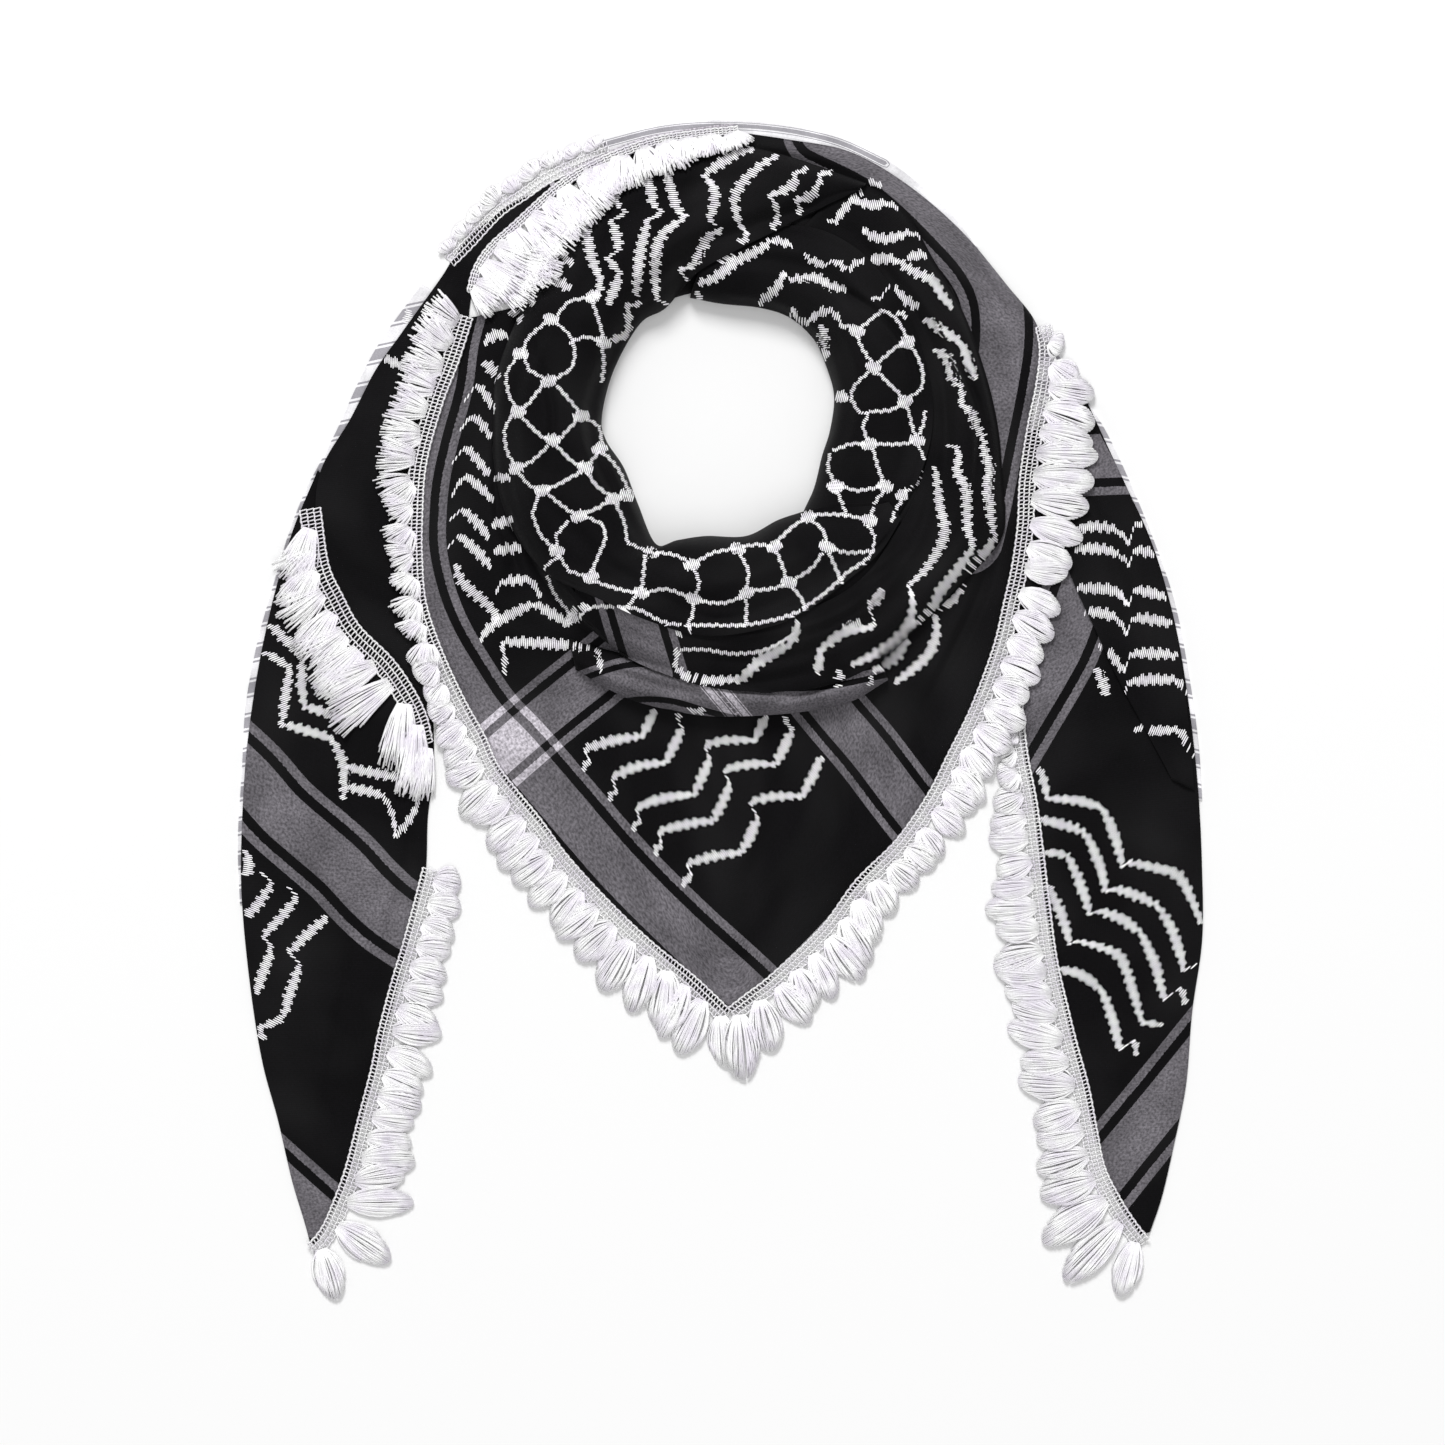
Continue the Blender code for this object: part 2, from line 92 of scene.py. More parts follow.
# One row per section across a stretch: its outer edge, its inner edge, and how high it crowns.
UNDER_PLY_LEFT = [
    # edge_x, edge_y, inner_x, inner_y, crown
    (-150, 214, -136, 206, 0), (-174, 180, -161, 171, 0), (-194, 138, -176, 128, 0),
    (-208, 111, -186, 101, 0), (-217, 88, -194, 76, 0), (-225, 61, -206, 51, 0), (-232, 36, -211, 31, 0),
    (-238, 4, -216, 1, 0), (-240, -29, -218, -29, 0), (-242, -64, -221, -64, 0), (-241, -96, -226, -96, 0),
]
UNDER_PLY_BACK = [
    # edge_x, edge_y, inner_x, inner_y, crown
    (-61, 286, -51, 268, 0), (-31, 293, -26, 274, 0), (-1, 296, 2, 276, 0), (29, 294, 26, 274, 0),
    (56, 288, 46, 268, 0), (79, 278, 64, 260, 0), (96, 266, 79, 248, 0), (114, 250, 94, 234, 0),
    (128, 232, 109, 218, 0),
]
UNDER_PLY_RIGHT = [
    # edge_x, edge_y, inner_x, inner_y, crown
    (160, 191, 144, 184, 0), (176, 166, 159, 156, 0), (191, 142, 174, 134, 0), (203, 117, 184, 111, 0),
    (215, 88, 196, 84, 0), (226, 56, 206, 54, 0), (233, 21, 214, 18, 0), (238, -14, 219, -14, 0),
    (240, -44, 224, -44, 0),
]
LEFT_TAIL = [
    # left_x, left_y, right_x, right_y, crown
    (-202, 121, -146, 56, 0), (-216, 86, -145, 16, 0), (-229, 36, -144, -26, 3), (-237, -14, -147, -52, 4),
    (-240, -59, -148, -78, 5), (-240, -94, -152, -94, 5), (-236, -136, -162, -136, 4),
    (-230, -174, -172, -174, 4), (-222, -204, -180, -202, 3), (-215, -234, -187, -232, 3),
    (-209, -254, -196, -252, 2), (-206, -265, -203, -266, 2),
]
RIGHT_TAIL = [
    # right_x, right_y, left_x, left_y, crown
    (182, 156, 139, 131, 0), (200, 117, 144, 86, 3), (215, 84, 146, 46, 4), (226, 46, 149, 11, 5),
    (233, 6, 151, -19, 5), (238, -39, 156, -46, 5), (240, -79, 160, -82, 5), (240, -114, 165, -116, 5),
    (235, -150, 172, -150, 4), (232, -186, 181, -187, 4), (226, -216, 188, -216, 3),
    (220, -242, 197, -242, 3), (214, -260, 209, -261, 2),
]
RIGHT_TAIL_FOLD = [
    # right_x, right_y, left_x, left_y, crown
    (184, 148, 159, 136, 5), (200, 117, 164, 96, 7), (214, 84, 175, 66, 8), (224, 51, 186, 42, 8),
    (230, 18, 198, 16, 7), (234, -14, 212, -10, 6), (236, -39, 225, -34, 5),
]
LEFT_FLAP = [
    # edge_x, edge_y, inner_x, inner_y, crown
    (6, 294, 9, 287, 0), (-36, 287, -34, 280, 0), (-66, 276, -62, 270, 0), (-88, 262, -85, 257, 0),
    (-110, 250, -104, 243, 0), (-128, 234, -120, 228, 0), (-144, 212, -125, 210, 0),
    (-172, 172, -130, 168, 0), (-186, 146, -136, 141, 3), (-200, 122, -137, 116, 4),
    (-203, 98, -138, 88, 5), (-198, 74, -140, 66, 5), (-191, 58, -141, 50, 5), (-166, 26, -144, 25, 4),
    (-153, 9, -146, 9, 4), (-148, -8, -146, -8, 4),
]
# The hidden folds run anticlockwise as an open ring, from the back over the left to the front.
HIDDEN_FOLDS = [
    # hole_x, hole_y, outer_x, outer_y
    (0, 208, 6, 271), (-26, 201, -36, 264), (-45, 190, -68, 238), (-58, 171, -91, 196),
    (-62, 148, -106, 156), (-54, 127, -107, 126), (-44, 105, -101, 94), (-35, 83, -81, 58),
    (-20, 84, -48, 34), (-1, 86, -11, 21), (19, 90, 29, 21), (38, 98, 69, 41), (47, 111, 102, 64),
    (52, 128, 119, 98), (56, 146, 119, 131), (58, 161, 114, 166), (52, 182, 102, 201), (38, 199, 79, 236),
    (20, 206, 44, 261), (4, 208, 14, 270),
]
FRONT_BIB = [
    # edge_x, edge_y, inner_x, inner_y, crown
    (-126, 197, -88, 206, 0), (-133, 175, -94, 184, 4), (-141, 154, -96, 156, 6), (-149, 123, -96, 128, 8),
    (-151, 83, -91, 98, 9), (-149, 56, -81, 71, 9), (-141, 30, -66, 51, 8), (-128, 2, -54, 36, 6),
    (-112, -29, -41, 24, 4), (-88, -59, -31, 16, 3), (-61, -90, -18, 11, 3), (-31, -120, -8, 10, 3),
    (3, -150, 6, 8, 3), (34, -122, 22, 10, 3), (59, -96, 34, 12, 3), (82, -70, 46, 16, 3),
    (102, -44, 59, 22, 3), (116, -16, 72, 31, 4), (129, 11, 84, 44, 5), (138, 36, 96, 56, 6),
    (145, 64, 112, 76, 7), (149, 91, 122, 98, 8), (150, 116, 126, 121, 8), (154, 144, 124, 146, 8),
    (158, 168, 118, 174, 8),
]
BACK_BAND = [
    # edge_x, edge_y, inner_x, inner_y, crown
    (158, 169, 118, 175, 8), (158, 192, 108, 206, 8), (142, 214, 96, 231, 8), (119, 241, 79, 248, 6),
    (92, 264, 62, 261, 5), (64, 280, 39, 268, 4), (34, 286, 20, 274, 3), (6, 290, 3, 276, 2),
]
FRONT_ROLL = [
    # inner_x, inner_y, outer_x, outer_y, crown
    (-76, 36, -73, 21, 12), (-57, 31, -50, 8, 15), (-36, 26, -31, 2, 17), (-11, 24, -8, -2, 18),
    (14, 20, 15, -2, 18), (36, 22, 40, 0, 18), (56, 28, 64, 5, 17), (75, 35, 83, 16, 15),
]
OUTER_WRAP = [
    # inner_x, inner_y, outer_x, outer_y, crown
    (39, 240, 64, 266, 12), (59, 227, 88, 254, 15), (78, 212, 106, 225, 18), (92, 193, 121, 198, 20),
    (100, 170, 132, 167, 21), (104, 147, 138, 140, 22), (102, 126, 140, 114, 22), (95, 105, 140, 88, 22),
    (84, 86, 122, 66, 22), (73, 70, 101, 45, 22), (58, 58, 78, 25, 22), (39, 50, 55, 14, 23),
    (15, 44, 27, 10, 24), (-10, 44, -5, 12, 24), (-34, 50, -29, 19, 23), (-55, 61, -50, 29, 21),
    (-75, 75, -71, 46, 18),
]
INNER_COLLAR = [
    # hole_x, hole_y, outer_x, outer_y, crown
    (-16, 207, -4, 240, 17), (0, 204, 20, 242, 19), (19, 202, 46, 241, 21), (34, 197, 68, 230, 23),
    (46, 186, 84, 212, 24), (52, 173, 96, 191, 25), (56, 158, 103, 168, 26), (54, 141, 105, 147, 26),
    (50, 128, 102, 128, 26), (46, 112, 95, 111, 25), (40, 98, 86, 96, 23), (39, 86, 75, 84, 20),
]
MAIN_WRAP = [
    # inner_x, inner_y, outer_x, outer_y, crown
    (68, 260, 72, 264, 12), (43, 248, 50, 272, 17), (24, 238, 32, 278, 20), (8, 230, 15, 282, 22),
    (-13, 218, -4, 286, 24), (-28, 202, -34, 278, 25), (-41, 194, -66, 258, 26), (-54, 171, -94, 214, 28),
    (-60, 148, -112, 171, 30), (-58, 136, -114, 146, 30), (-49, 122, -113, 118, 30),
    (-42, 104, -105, 92, 31), (-33, 84, -87, 69, 32), (-22, 86, -61, 56, 32), (-8, 88, -36, 45, 33),
    (12, 88, -11, 38, 34), (28, 96, 15, 40, 34), (41, 100, 40, 49, 33), (55, 102, 62, 65, 31),
    (70, 102, 79, 80, 27), (83, 104, 89, 96, 20),
]
# One row per section across a trim: the edge of the cloth and the tassels' ends.
BIB_TRIM_LEFT = [
    # edge_x, edge_y, end_x, end_y
    (-126, 197, -145, 206), (-133, 175, -157, 180), (-141, 154, -164, 157), (-149, 124, -170, 118),
    (-151, 96, -166, 88), (-151, 76, -161, 64), (-149, 54, -156, 40), (-141, 30, -151, 17),
    (-130, 6, -145, -6), (-120, -12, -138, -26), (-112, -29, -134, -44), (-92, -54, -116, -72),
    (-78, -73, -100, -92), (-57, -96, -76, -119), (-36, -116, -50, -148), (-16, -132, -25, -166),
    (-4, -143, -10, -175), (3, -150, 5, -189),
]
BIB_TRIM_RIGHT = [
    # edge_x, edge_y, end_x, end_y
    (4, -149, 7, -189), (13, -142, 23, -174), (26, -132, 39, -157), (51, -108, 66, -136),
    (68, -85, 84, -106), (88, -65, 105, -82), (104, -42, 122, -59), (114, -22, 134, -39),
    (124, -2, 145, -19), (132, 18, 154, 2), (138, 36, 162, 22), (142, 54, 170, 42), (146, 72, 174, 64),
    (149, 94, 179, 84), (150, 116, 186, 110), (154, 143, 188, 132), (158, 162, 185, 152),
    (160, 180, 176, 171), (158, 192, 165, 187),
]
LEFT_TAIL_TRIM = [
    # edge_x, edge_y, end_x, end_y
    (-148, -78, -131, -80), (-152, -94, -132, -102), (-158, -116, -134, -123), (-164, -136, -138, -146),
    (-170, -159, -140, -166), (-174, -179, -146, -186), (-180, -202, -152, -208), (-187, -229, -155, -232),
    (-194, -248, -158, -258), (-198, -257, -171, -276), (-202, -263, -186, -289), (-206, -267, -200, -295),
]
RIGHT_TAIL_TRIM = [
    # edge_x, edge_y, end_x, end_y
    (148, 11, 140, -2), (151, -19, 138, -26), (156, -46, 135, -54), (159, -69, 134, -74),
    (162, -94, 134, -102), (166, -124, 136, -126), (172, -150, 140, -146), (176, -166, 144, -166),
    (182, -188, 148, -190), (186, -209, 154, -214), (190, -228, 159, -239), (198, -244, 164, -269),
    (205, -255, 179, -293), (212, -264, 202, -286),
]
FLAP_TRIM = [
    # edge_x, edge_y, end_x, end_y
    (-202, 102, -218, 76), (-198, 74, -222, 56), (-191, 58, -214, 36), (-182, 42, -204, 18),
    (-166, 26, -191, -2), (-156, 12, -177, -22), (-149, -2, -162, -39), (-146, -15, -148, -46),
]
BACK_TRIM_INNER = [
    # edge_x, edge_y, end_x, end_y
    (8, 291, 12, 281), (-12, 289, -8, 276), (-36, 285, -28, 268), (-64, 274, -54, 255),
    (-83, 262, -65, 241), (-104, 243, -80, 224), (-116, 232, -88, 211), (-123, 221, -101, 204),
    (-126, 210, -115, 201),
]
BACK_TRIM_OUTER = [
    # edge_x, edge_y, end_x, end_y
    (-135, 224, -142, 231), (-125, 234, -134, 242), (-111, 249, -120, 258), (-98, 258, -107, 268),
    (-88, 265, -96, 277), (-74, 272, -80, 283), (-56, 279, -61, 288),
]

# Creases: depth, negative for a ridge, half their width, and points along each.
CREASES = {
    "main_wrap": [
        (4.5, 3.5, [(-20, 226), (-6, 216), (14, 226), (40, 244)]),
        (2.5, 4.0, [(-110, 140), (-100, 92), (-66, 54)]),
        (3.0, 3.0, [(-96, 190), (-84, 150), (-88, 118)]),
        (2.0, 5.0, [(-40, 68), (8, 52), (56, 72)]),
        (3.0, 3.5, [(-48, 190), (-42, 150), (-46, 118)]),
        (3.0, 7.0, [(60, 259), (-26, 222), (-65, 164)]),
        (3.0, 8.0, [(27, 270), (-41, 250), (-82, 187)]),
        (4.0, 4.5, [(-45, 198), (-66, 143), (-39, 81)]),
        (2.5, 6.0, [(-78, 210), (-104, 154), (-98, 92)]),
        (3.0, 7.0, [(-100, 116), (-27, 55), (65, 78)]),
        (2.0, 9.0, [(-59, 91), (6, 72), (74, 96)]),
        (-1.5, 7.0, [(3, 255), (-63, 197)]),
    ],
    "outer_wrap": [
        (4.0, 3.5, [(-30, 44), (14, 34), (60, 46), (92, 76)]),
        (3.0, 3.5, [(112, 182), (128, 150), (126, 112)]),
        (3.0, 3.0, [(60, 58), (92, 80), (104, 112)]),
        (4.0, 6.0, [(65, 239), (108, 176), (108, 99)]),
        (3.0, 6.0, [(95, 226), (122, 169), (128, 111), (97, 59)]),
        (3.5, 5.0, [(107, 139), (82, 70), (18, 36)]),
        (3.5, 7.0, [(108, 77), (57, 34), (-8, 27), (-67, 55)]),
        (2.5, 5.0, [(85, 38), (20, 16), (-45, 32)]),
    ],
    "inner_collar": [
        (4.0, 3.0, [(40, 218), (70, 204), (92, 180), (100, 150)]),
        (2.5, 3.0, [(0, 206), (30, 200), (50, 184)]),
        (3.5, 6.0, [(-6, 224), (28, 224), (59, 212), (79, 184)]),
        (2.5, 5.0, [(32, 208), (56, 186), (64, 156), (56, 122)]),
        (3.5, 5.0, [(84, 199), (96, 160), (90, 121), (71, 88)]),
        (1.5, 8.0, [(75, 172), (77, 137), (66, 103)]),
    ],
    "front_roll": [
        (3.0, 4.0, [(-72, 29), (-50, 19), (-28, 12), (-5, 8)]),
        (3.5, 4.5, [(-14, 17), (16, 11), (44, 11), (73, 19)]),
        (2.0, 3.5, [(19, 3), (48, 12), (75, 28)]),
    ],
    "front_bib": [
        (3.0, 3.0, [(-100, 195), (-110, 150), (-112, 100), (-96, 60)]),
        (3.0, 3.5, [(-97, 81), (-60, 52), (-40, 42)]),
        (1.8, 3.0, [(-11, -124), (16, -122)]),
        (1.6, 3.0, [(-1, -139), (16, -136)]),
        (2.4, 4.0, [(88, -18), (96, -38), (92, -58)]),
        (2.2, 4.0, [(96, -10), (100, -28)]),
        (2.5, 4.0, [(127, 231), (130, 216), (136, 200), (139, 184)]),
        (5.0, 5.0, [(-104, 191), (-104, 58)]),
        (3.0, 5.0, [(-98, 187), (-94, 73)]),
        (2.0, 7.0, [(-124, 170), (-137, 75)]),
        (1.6, 6.0, [(-143, 62), (-72, 33)]),
        (1.2, 7.0, [(-119, 13), (-58, 6)]),
        (1.0, 6.0, [(-62, -60), (-33, -103)]),
        (1.4, 5.0, [(-46, -101), (0, -134)]),
        (2.0, 6.0, [(64, -77), (59, 3)]),
        (2.2, 5.0, [(88, -55), (70, 20)]),
        (3.5, 5.0, [(101, 1), (133, 72), (141, 146)]),
        (2.5, 5.0, [(109, 55), (131, 159)]),
        (3.5, 5.0, [(135, 176), (128, 211), (107, 240)]),
        (2.5, 4.0, [(145, 188), (135, 212), (118, 235), (96, 257)]),
        (2.5, 4.5, [(106, 228), (89, 247), (68, 264), (41, 274), (13, 281)]),
    ],
    "left_tail": [
        (3.0, 3.0, [(-187, -2), (-190, -44)]),
        (2.0, 4.0, [(-192, -16), (-185, -79)]),
        (2.0, 5.0, [(-154, -48), (-159, -82), (-170, -123)]),
        (1.2, 8.0, [(-231, -63), (-224, -124), (-216, -177), (-207, -231)]),
        (1.5, 6.0, [(-179, -95), (-190, -150), (-198, -203), (-203, -258)]),
        (1.2, 8.0, [(-194, 67), (-212, 13), (-227, -51)]),
    ],
    "right_tail": [
        (2.5, 3.5, [(176, 63), (190, 30), (207, -6)]),
        (2.2, 8.0, [(167, 111), (190, 47), (211, -21)]),
        (1.6, 9.0, [(221, -9), (225, -87), (221, -157), (216, -228)]),
        (1.5, 6.0, [(165, -40), (174, -98), (185, -159), (197, -220)]),
        (1.0, 8.0, [(200, -98), (205, -171), (209, -244)]),
    ],
    "right_tail_fold": [
        (3.0, 6.0, [(175, 134), (184, 105), (195, 76), (205, 46), (213, 17)]),
        (2.0, 5.0, [(202, 95), (212, 65), (219, 32), (225, 2), (231, -28)]),
    ],
    "left_flap": [
        (2.0, 8.0, [(-152, 185), (-180, 129), (-184, 70)]),
        (1.6, 7.0, [(-148, 161), (-159, 95), (-152, 30)]),
        (-1.0, 9.0, [(-136, 202), (-166, 139)]),
    ],
    "hidden_folds": [
        (4.0, 6.0, [(-23, 222), (-75, 158), (-48, 73)]),
        (4.0, 6.0, [(-85, 118), (-3, 46), (92, 108)]),
        (4.0, 6.0, [(24, 67), (78, 141), (32, 224)]),
    ],
}

# Bands: how wide against the usual one, which thread system, and points along the middle of each.
BANDS = {
    "front_bib": [
        (1.0, "weft", [(34, -164), (13, -141), (-21, -110), (-51, -80), (-78, -49), (-102, -21), (-119, -3),
                       (-133, 18), (-144, 37), (-152, 57), (-157, 80), (-157, 101), (-155, 120), (-150, 142),
                       (-144, 164), (-141, 186), (-136, 206)]),
        (0.9, "warp", [(-128, -36), (-91, -4), (-60, 21), (-30, 46)]),
        (0.88, "weft", [(30, 32), (56, 0), (73, -20), (92, -45), (112, -70)]),
        (1.0, "warp", [(50, 290), (78, 276), (98, 260), (114, 244), (129, 227), (138, 209), (140, 188),
                       (137, 165), (131, 135), (126, 110), (121, 88)]),
    ],
    "front_roll": [
        (0.66, "warp", [(-84, 2), (-56, 12), (-42, 15), (-23, 14), (-2, 8), (18, 4), (40, 3), (60, 5),
                        (84, 10)]),
        (0.12, "weft", [(-14, 20), (-5, 9), (6, -4)]),
        (0.12, "weft", [(-6, 20), (3, 9), (14, -4)]),
    ],
    "outer_wrap": [
        (0.86, "warp", [(-47, 62), (-40, 38), (-34, 18)]),
    ],
    "under_ply_left": [(0.24, "warp", [(-250, y), (-130, y + 26)]) for y in range(-110, 190, 17)],
    "under_ply_back": [(0.1, "warp", [(-62, 283), (-30, 291), (0, 293), (30, 291), (58, 285), (82, 274)])],
    "under_ply_right": [(0.24, "warp", [(250, y), (130, y + 26)]) for y in range(-60, 190, 17)],
    "left_flap": [
        (0.6, "warp", [(-78, 272), (-60, 280), (-30, 290), (12, 297)]),
        (0.6, "weft", [(-78, 272), (-60, 280), (-30, 290), (12, 297)]),
    ],
    "left_tail": [
        (1.08, "warp", [(-252, -18), (-236, -33), (-221, -50), (-205, -64), (-190, -77), (-178, -90),
                        (-166, -101), (-148, -113)]),
        (1.0, "warp", [(-248, -212), (-222, -235), (-203, -252)]),
    ],
    "right_tail": [
        (1.0, "warp", [(256, -152), (225, -190), (202, -218), (186, -238)]),
        (1.0, "weft", [(186, 78), (172, 39), (163, 21), (153, 4), (143, -13), (133, -30)]),
    ],
    "right_tail_fold": [
        (1.0, "warp", [(150, 126), (215, 129)]),
    ],
}

# Waves of the figure: the points where each line turns, in order along it, from the bib to the tails.
WAVES = [
    [(-70, -29), (-66, -24), (-69, -19), (-54, -15), (-40, -12), (-36, -5), (-33, 1)],
    [(-57, -44), (-53, -39), (-55, -33), (-42, -28), (-28, -25), (-23, -16), (-20, -8), (-23, -2), (-8, 1)],
    [(-45, -59), (-41, -54), (-43, -48), (-29, -44), (-14, -41), (-9, -32), (-6, -23), (-9, -17), (2, -15),
     (16, -14), (23, -2)],
    [(-34, -71), (-30, -65), (-32, -60), (-18, -57), (-4, -54), (1, -45), (4, -36), (1, -29), (13, -27),
     (27, -26), (32, -17), (35, -9), (31, -2)],
    [(-20, -87), (-15, -81), (-18, -76), (-4, -73), (10, -70), (15, -61), (18, -53), (14, -45), (27, -43),
     (40, -42), (46, -32), (50, -22)], [(-119, 184), (-113, 188), (-106, 188)], [(-119, 175), (-111, 166)],
    [(-129, 155), (-122, 163), (-113, 150)], [(-131, 141), (-124, 148), (-115, 137)],
    [(-135, 124), (-128, 132), (-116, 118)], [(-135, 108), (-128, 118), (-114, 105)],
    [(-136, 96), (-129, 101), (-116, 87)], [(-137, 82), (-131, 88), (-115, 72)],
    [(-133, 74), (-130, 64), (-115, 50), (-113, 44)], [(-114, 117), (-105, 116)], [(-115, 93), (-104, 96)],
    [(-114, 80), (-99, 82)], [(-113, 60), (-109, 65), (-96, 66), (-90, 57)],
    [(-121, 36), (-112, 44), (-94, 54), (-76, 43)], [(-76, 44), (-75, 50), (-66, 53)],
    [(-109, 19), (-108, 27), (-110, 35), (-92, 33), (-63, 32), (-60, 20)],
    [(-70, 253), (-60, 249), (-69, 246), (-66, 226), (-60, 213), (-64, 204)],
    [(-54, 259), (-52, 251), (-47, 249), (-55, 244), (-51, 229), (-57, 226), (-51, 217), (-57, 202)],
    [(-38, 267), (-34, 251), (-29, 249), (-37, 244), (-42, 226), (-43, 207)],
    [(-28, 269), (-23, 250), (-18, 246), (-30, 238), (-34, 228), (-33, 206), (-28, 203)],
    [(16, 281), (7, 279), (-9, 267), (-4, 258), (-6, 244), (0, 240), (-8, 236), (-14, 224), (-21, 220),
     (-17, 213)], [(28, 278), (17, 271), (8, 262), (5, 254), (8, 243), (13, 238), (4, 228), (-8, 222)],
    [(43, 271), (37, 268), (35, 263), (29, 259), (24, 257), (26, 252), (28, 247), (25, 240)],
    [(56, 270), (49, 268), (48, 261), (42, 256), (37, 255), (39, 247)],
    [(52, 245), (56, 244), (61, 250), (65, 255), (75, 252), (82, 254), (88, 251)],
    [(64, 257), (69, 260), (72, 265), (80, 263)],
    [(70, 241), (72, 238), (79, 235), (86, 236), (94, 239), (99, 237)], [(-81, 228), (-74, 222)],
    [(-89, 217), (-75, 210)], [(-101, 209), (-93, 203)], [(-108, 204), (-100, 194)],
    [(-40, 204), (-47, 202), (-47, 189), (-55, 185)], [(-22, 205), (-35, 197)], [(-12, 210), (-12, 204)],
    [(-12, 213), (-2, 216), (9, 224), (19, 229), (25, 235), (35, 232)],
    [(41, 229), (43, 225), (50, 222), (56, 224), (62, 220)],
    [(63, 220), (69, 225), (78, 225), (87, 225), (94, 219), (104, 214), (109, 207), (115, 201)],
    [(92, 226), (97, 227), (102, 228)],
    [(18, 204), (25, 208), (29, 213), (31, 219), (34, 215), (47, 215), (54, 211), (62, 210)],
    [(74, 206), (78, 205), (84, 212), (91, 205), (98, 201)],
    [(34, 197), (35, 202), (37, 197), (42, 194), (49, 198), (55, 199), (60, 192), (64, 191)],
    [(87, 199), (92, 196)], [(50, 193), (50, 176)],
    [(101, 196), (108, 190), (113, 187), (119, 184), (121, 177), (126, 165)],
    [(106, 181), (112, 175), (114, 167), (119, 161), (119, 153), (124, 148), (126, 142), (130, 137),
     (130, 128), (132, 120), (131, 112), (135, 89)],
    [(137, 89), (131, 81), (121, 69), (118, 58), (106, 51), (106, 40), (101, 28), (86, 14)],
    [(112, 133), (118, 130), (116, 119), (120, 110), (121, 92), (125, 82), (115, 70), (108, 62), (102, 50),
     (92, 42)],
    [(106, 122), (107, 104), (109, 92), (106, 81), (99, 70), (93, 63), (94, 54), (90, 42), (78, 31),
     (64, 23)], [(94, 38), (86, 28), (75, 20)],
    [(80, 61), (73, 52), (76, 43), (60, 40), (49, 31), (47, 19)], [(59, 21), (57, 12)],
    [(75, 18), (73, 13)], [(38, 45), (35, 35), (26, 30), (18, 26), (10, 18), (4, 15)],
    [(-23, 32), (-23, 22), (-16, 16), (-2, 15), (8, 17)], [(69, 45), (60, 42)],
    [(-226, 44), (-218, 35), (-210, 29), (-211, 16), (-209, 3), (-198, -1), (-186, -6)],
    [(-188, -27), (-176, -31), (-159, -33), (-163, -41)],
    [(-229, 30), (-216, 22), (-219, 8), (-220, -6), (-208, -10), (-194, -14), (-190, -28), (-189, -44)],
    [(-188, -37), (-178, -40), (-169, -42), (-165, -52), (-163, -62), (-157, -56), (-151, -45)],
    [(-238, -69), (-237, -78), (-241, -86)], [(-230, -80), (-225, -86), (-233, -96), (-241, -106)],
    [(-217, -87), (-212, -92), (-220, -101), (-229, -112), (-225, -119), (-230, -130), (-233, -141),
     (-239, -139)],
    [(-197, -102), (-207, -110), (-216, -120), (-211, -127), (-216, -138), (-219, -152), (-230, -158),
     (-231, -168)], [(187, 22), (192, 8)],
    [(158, -28), (163, -43), (177, -45), (190, -48), (195, -62), (200, -77), (204, -76), (216, -79),
     (227, -83), (234, -94), (240, -106)],
    [(158, -53), (170, -57), (181, -60), (187, -75), (192, -90), (195, -88), (206, -92), (218, -97),
     (225, -112), (231, -129), (238, -126)],
    [(160, -70), (173, -72), (178, -86), (184, -101), (188, -99), (199, -104), (209, -110), (215, -126),
     (221, -144), (229, -138), (232, -146)],
    [(162, -86), (168, -100), (174, -116), (177, -114), (188, -118), (198, -124), (204, -139), (210, -155),
     (220, -157)],
    [(168, -128), (179, -132), (189, -138), (194, -153), (199, -169), (206, -164), (207, -172)],
    [(176, 91), (187, 92), (197, 91), (203, 84), (207, 94), (214, 92)],
    [(176, 81), (187, 81), (198, 79), (203, 73), (206, 81), (217, 79)],
    [(176, 62), (187, 61), (197, 59), (203, 53), (206, 61), (222, 57)],
    [(181, 50), (189, 49), (197, 47), (202, 39), (205, 47), (225, 44)],
    [(188, 34), (194, 28), (201, 20), (204, 29), (228, 28)], [(201, 9), (203, 15), (227, 16), (233, 8)],
    [(206, -8), (217, -10), (228, -9), (236, -22)], [(-158, 193), (-156, 201)],
    [(-171, 172), (-170, 177), (-159, 172)], [(-133, 229), (-128, 234)],
]

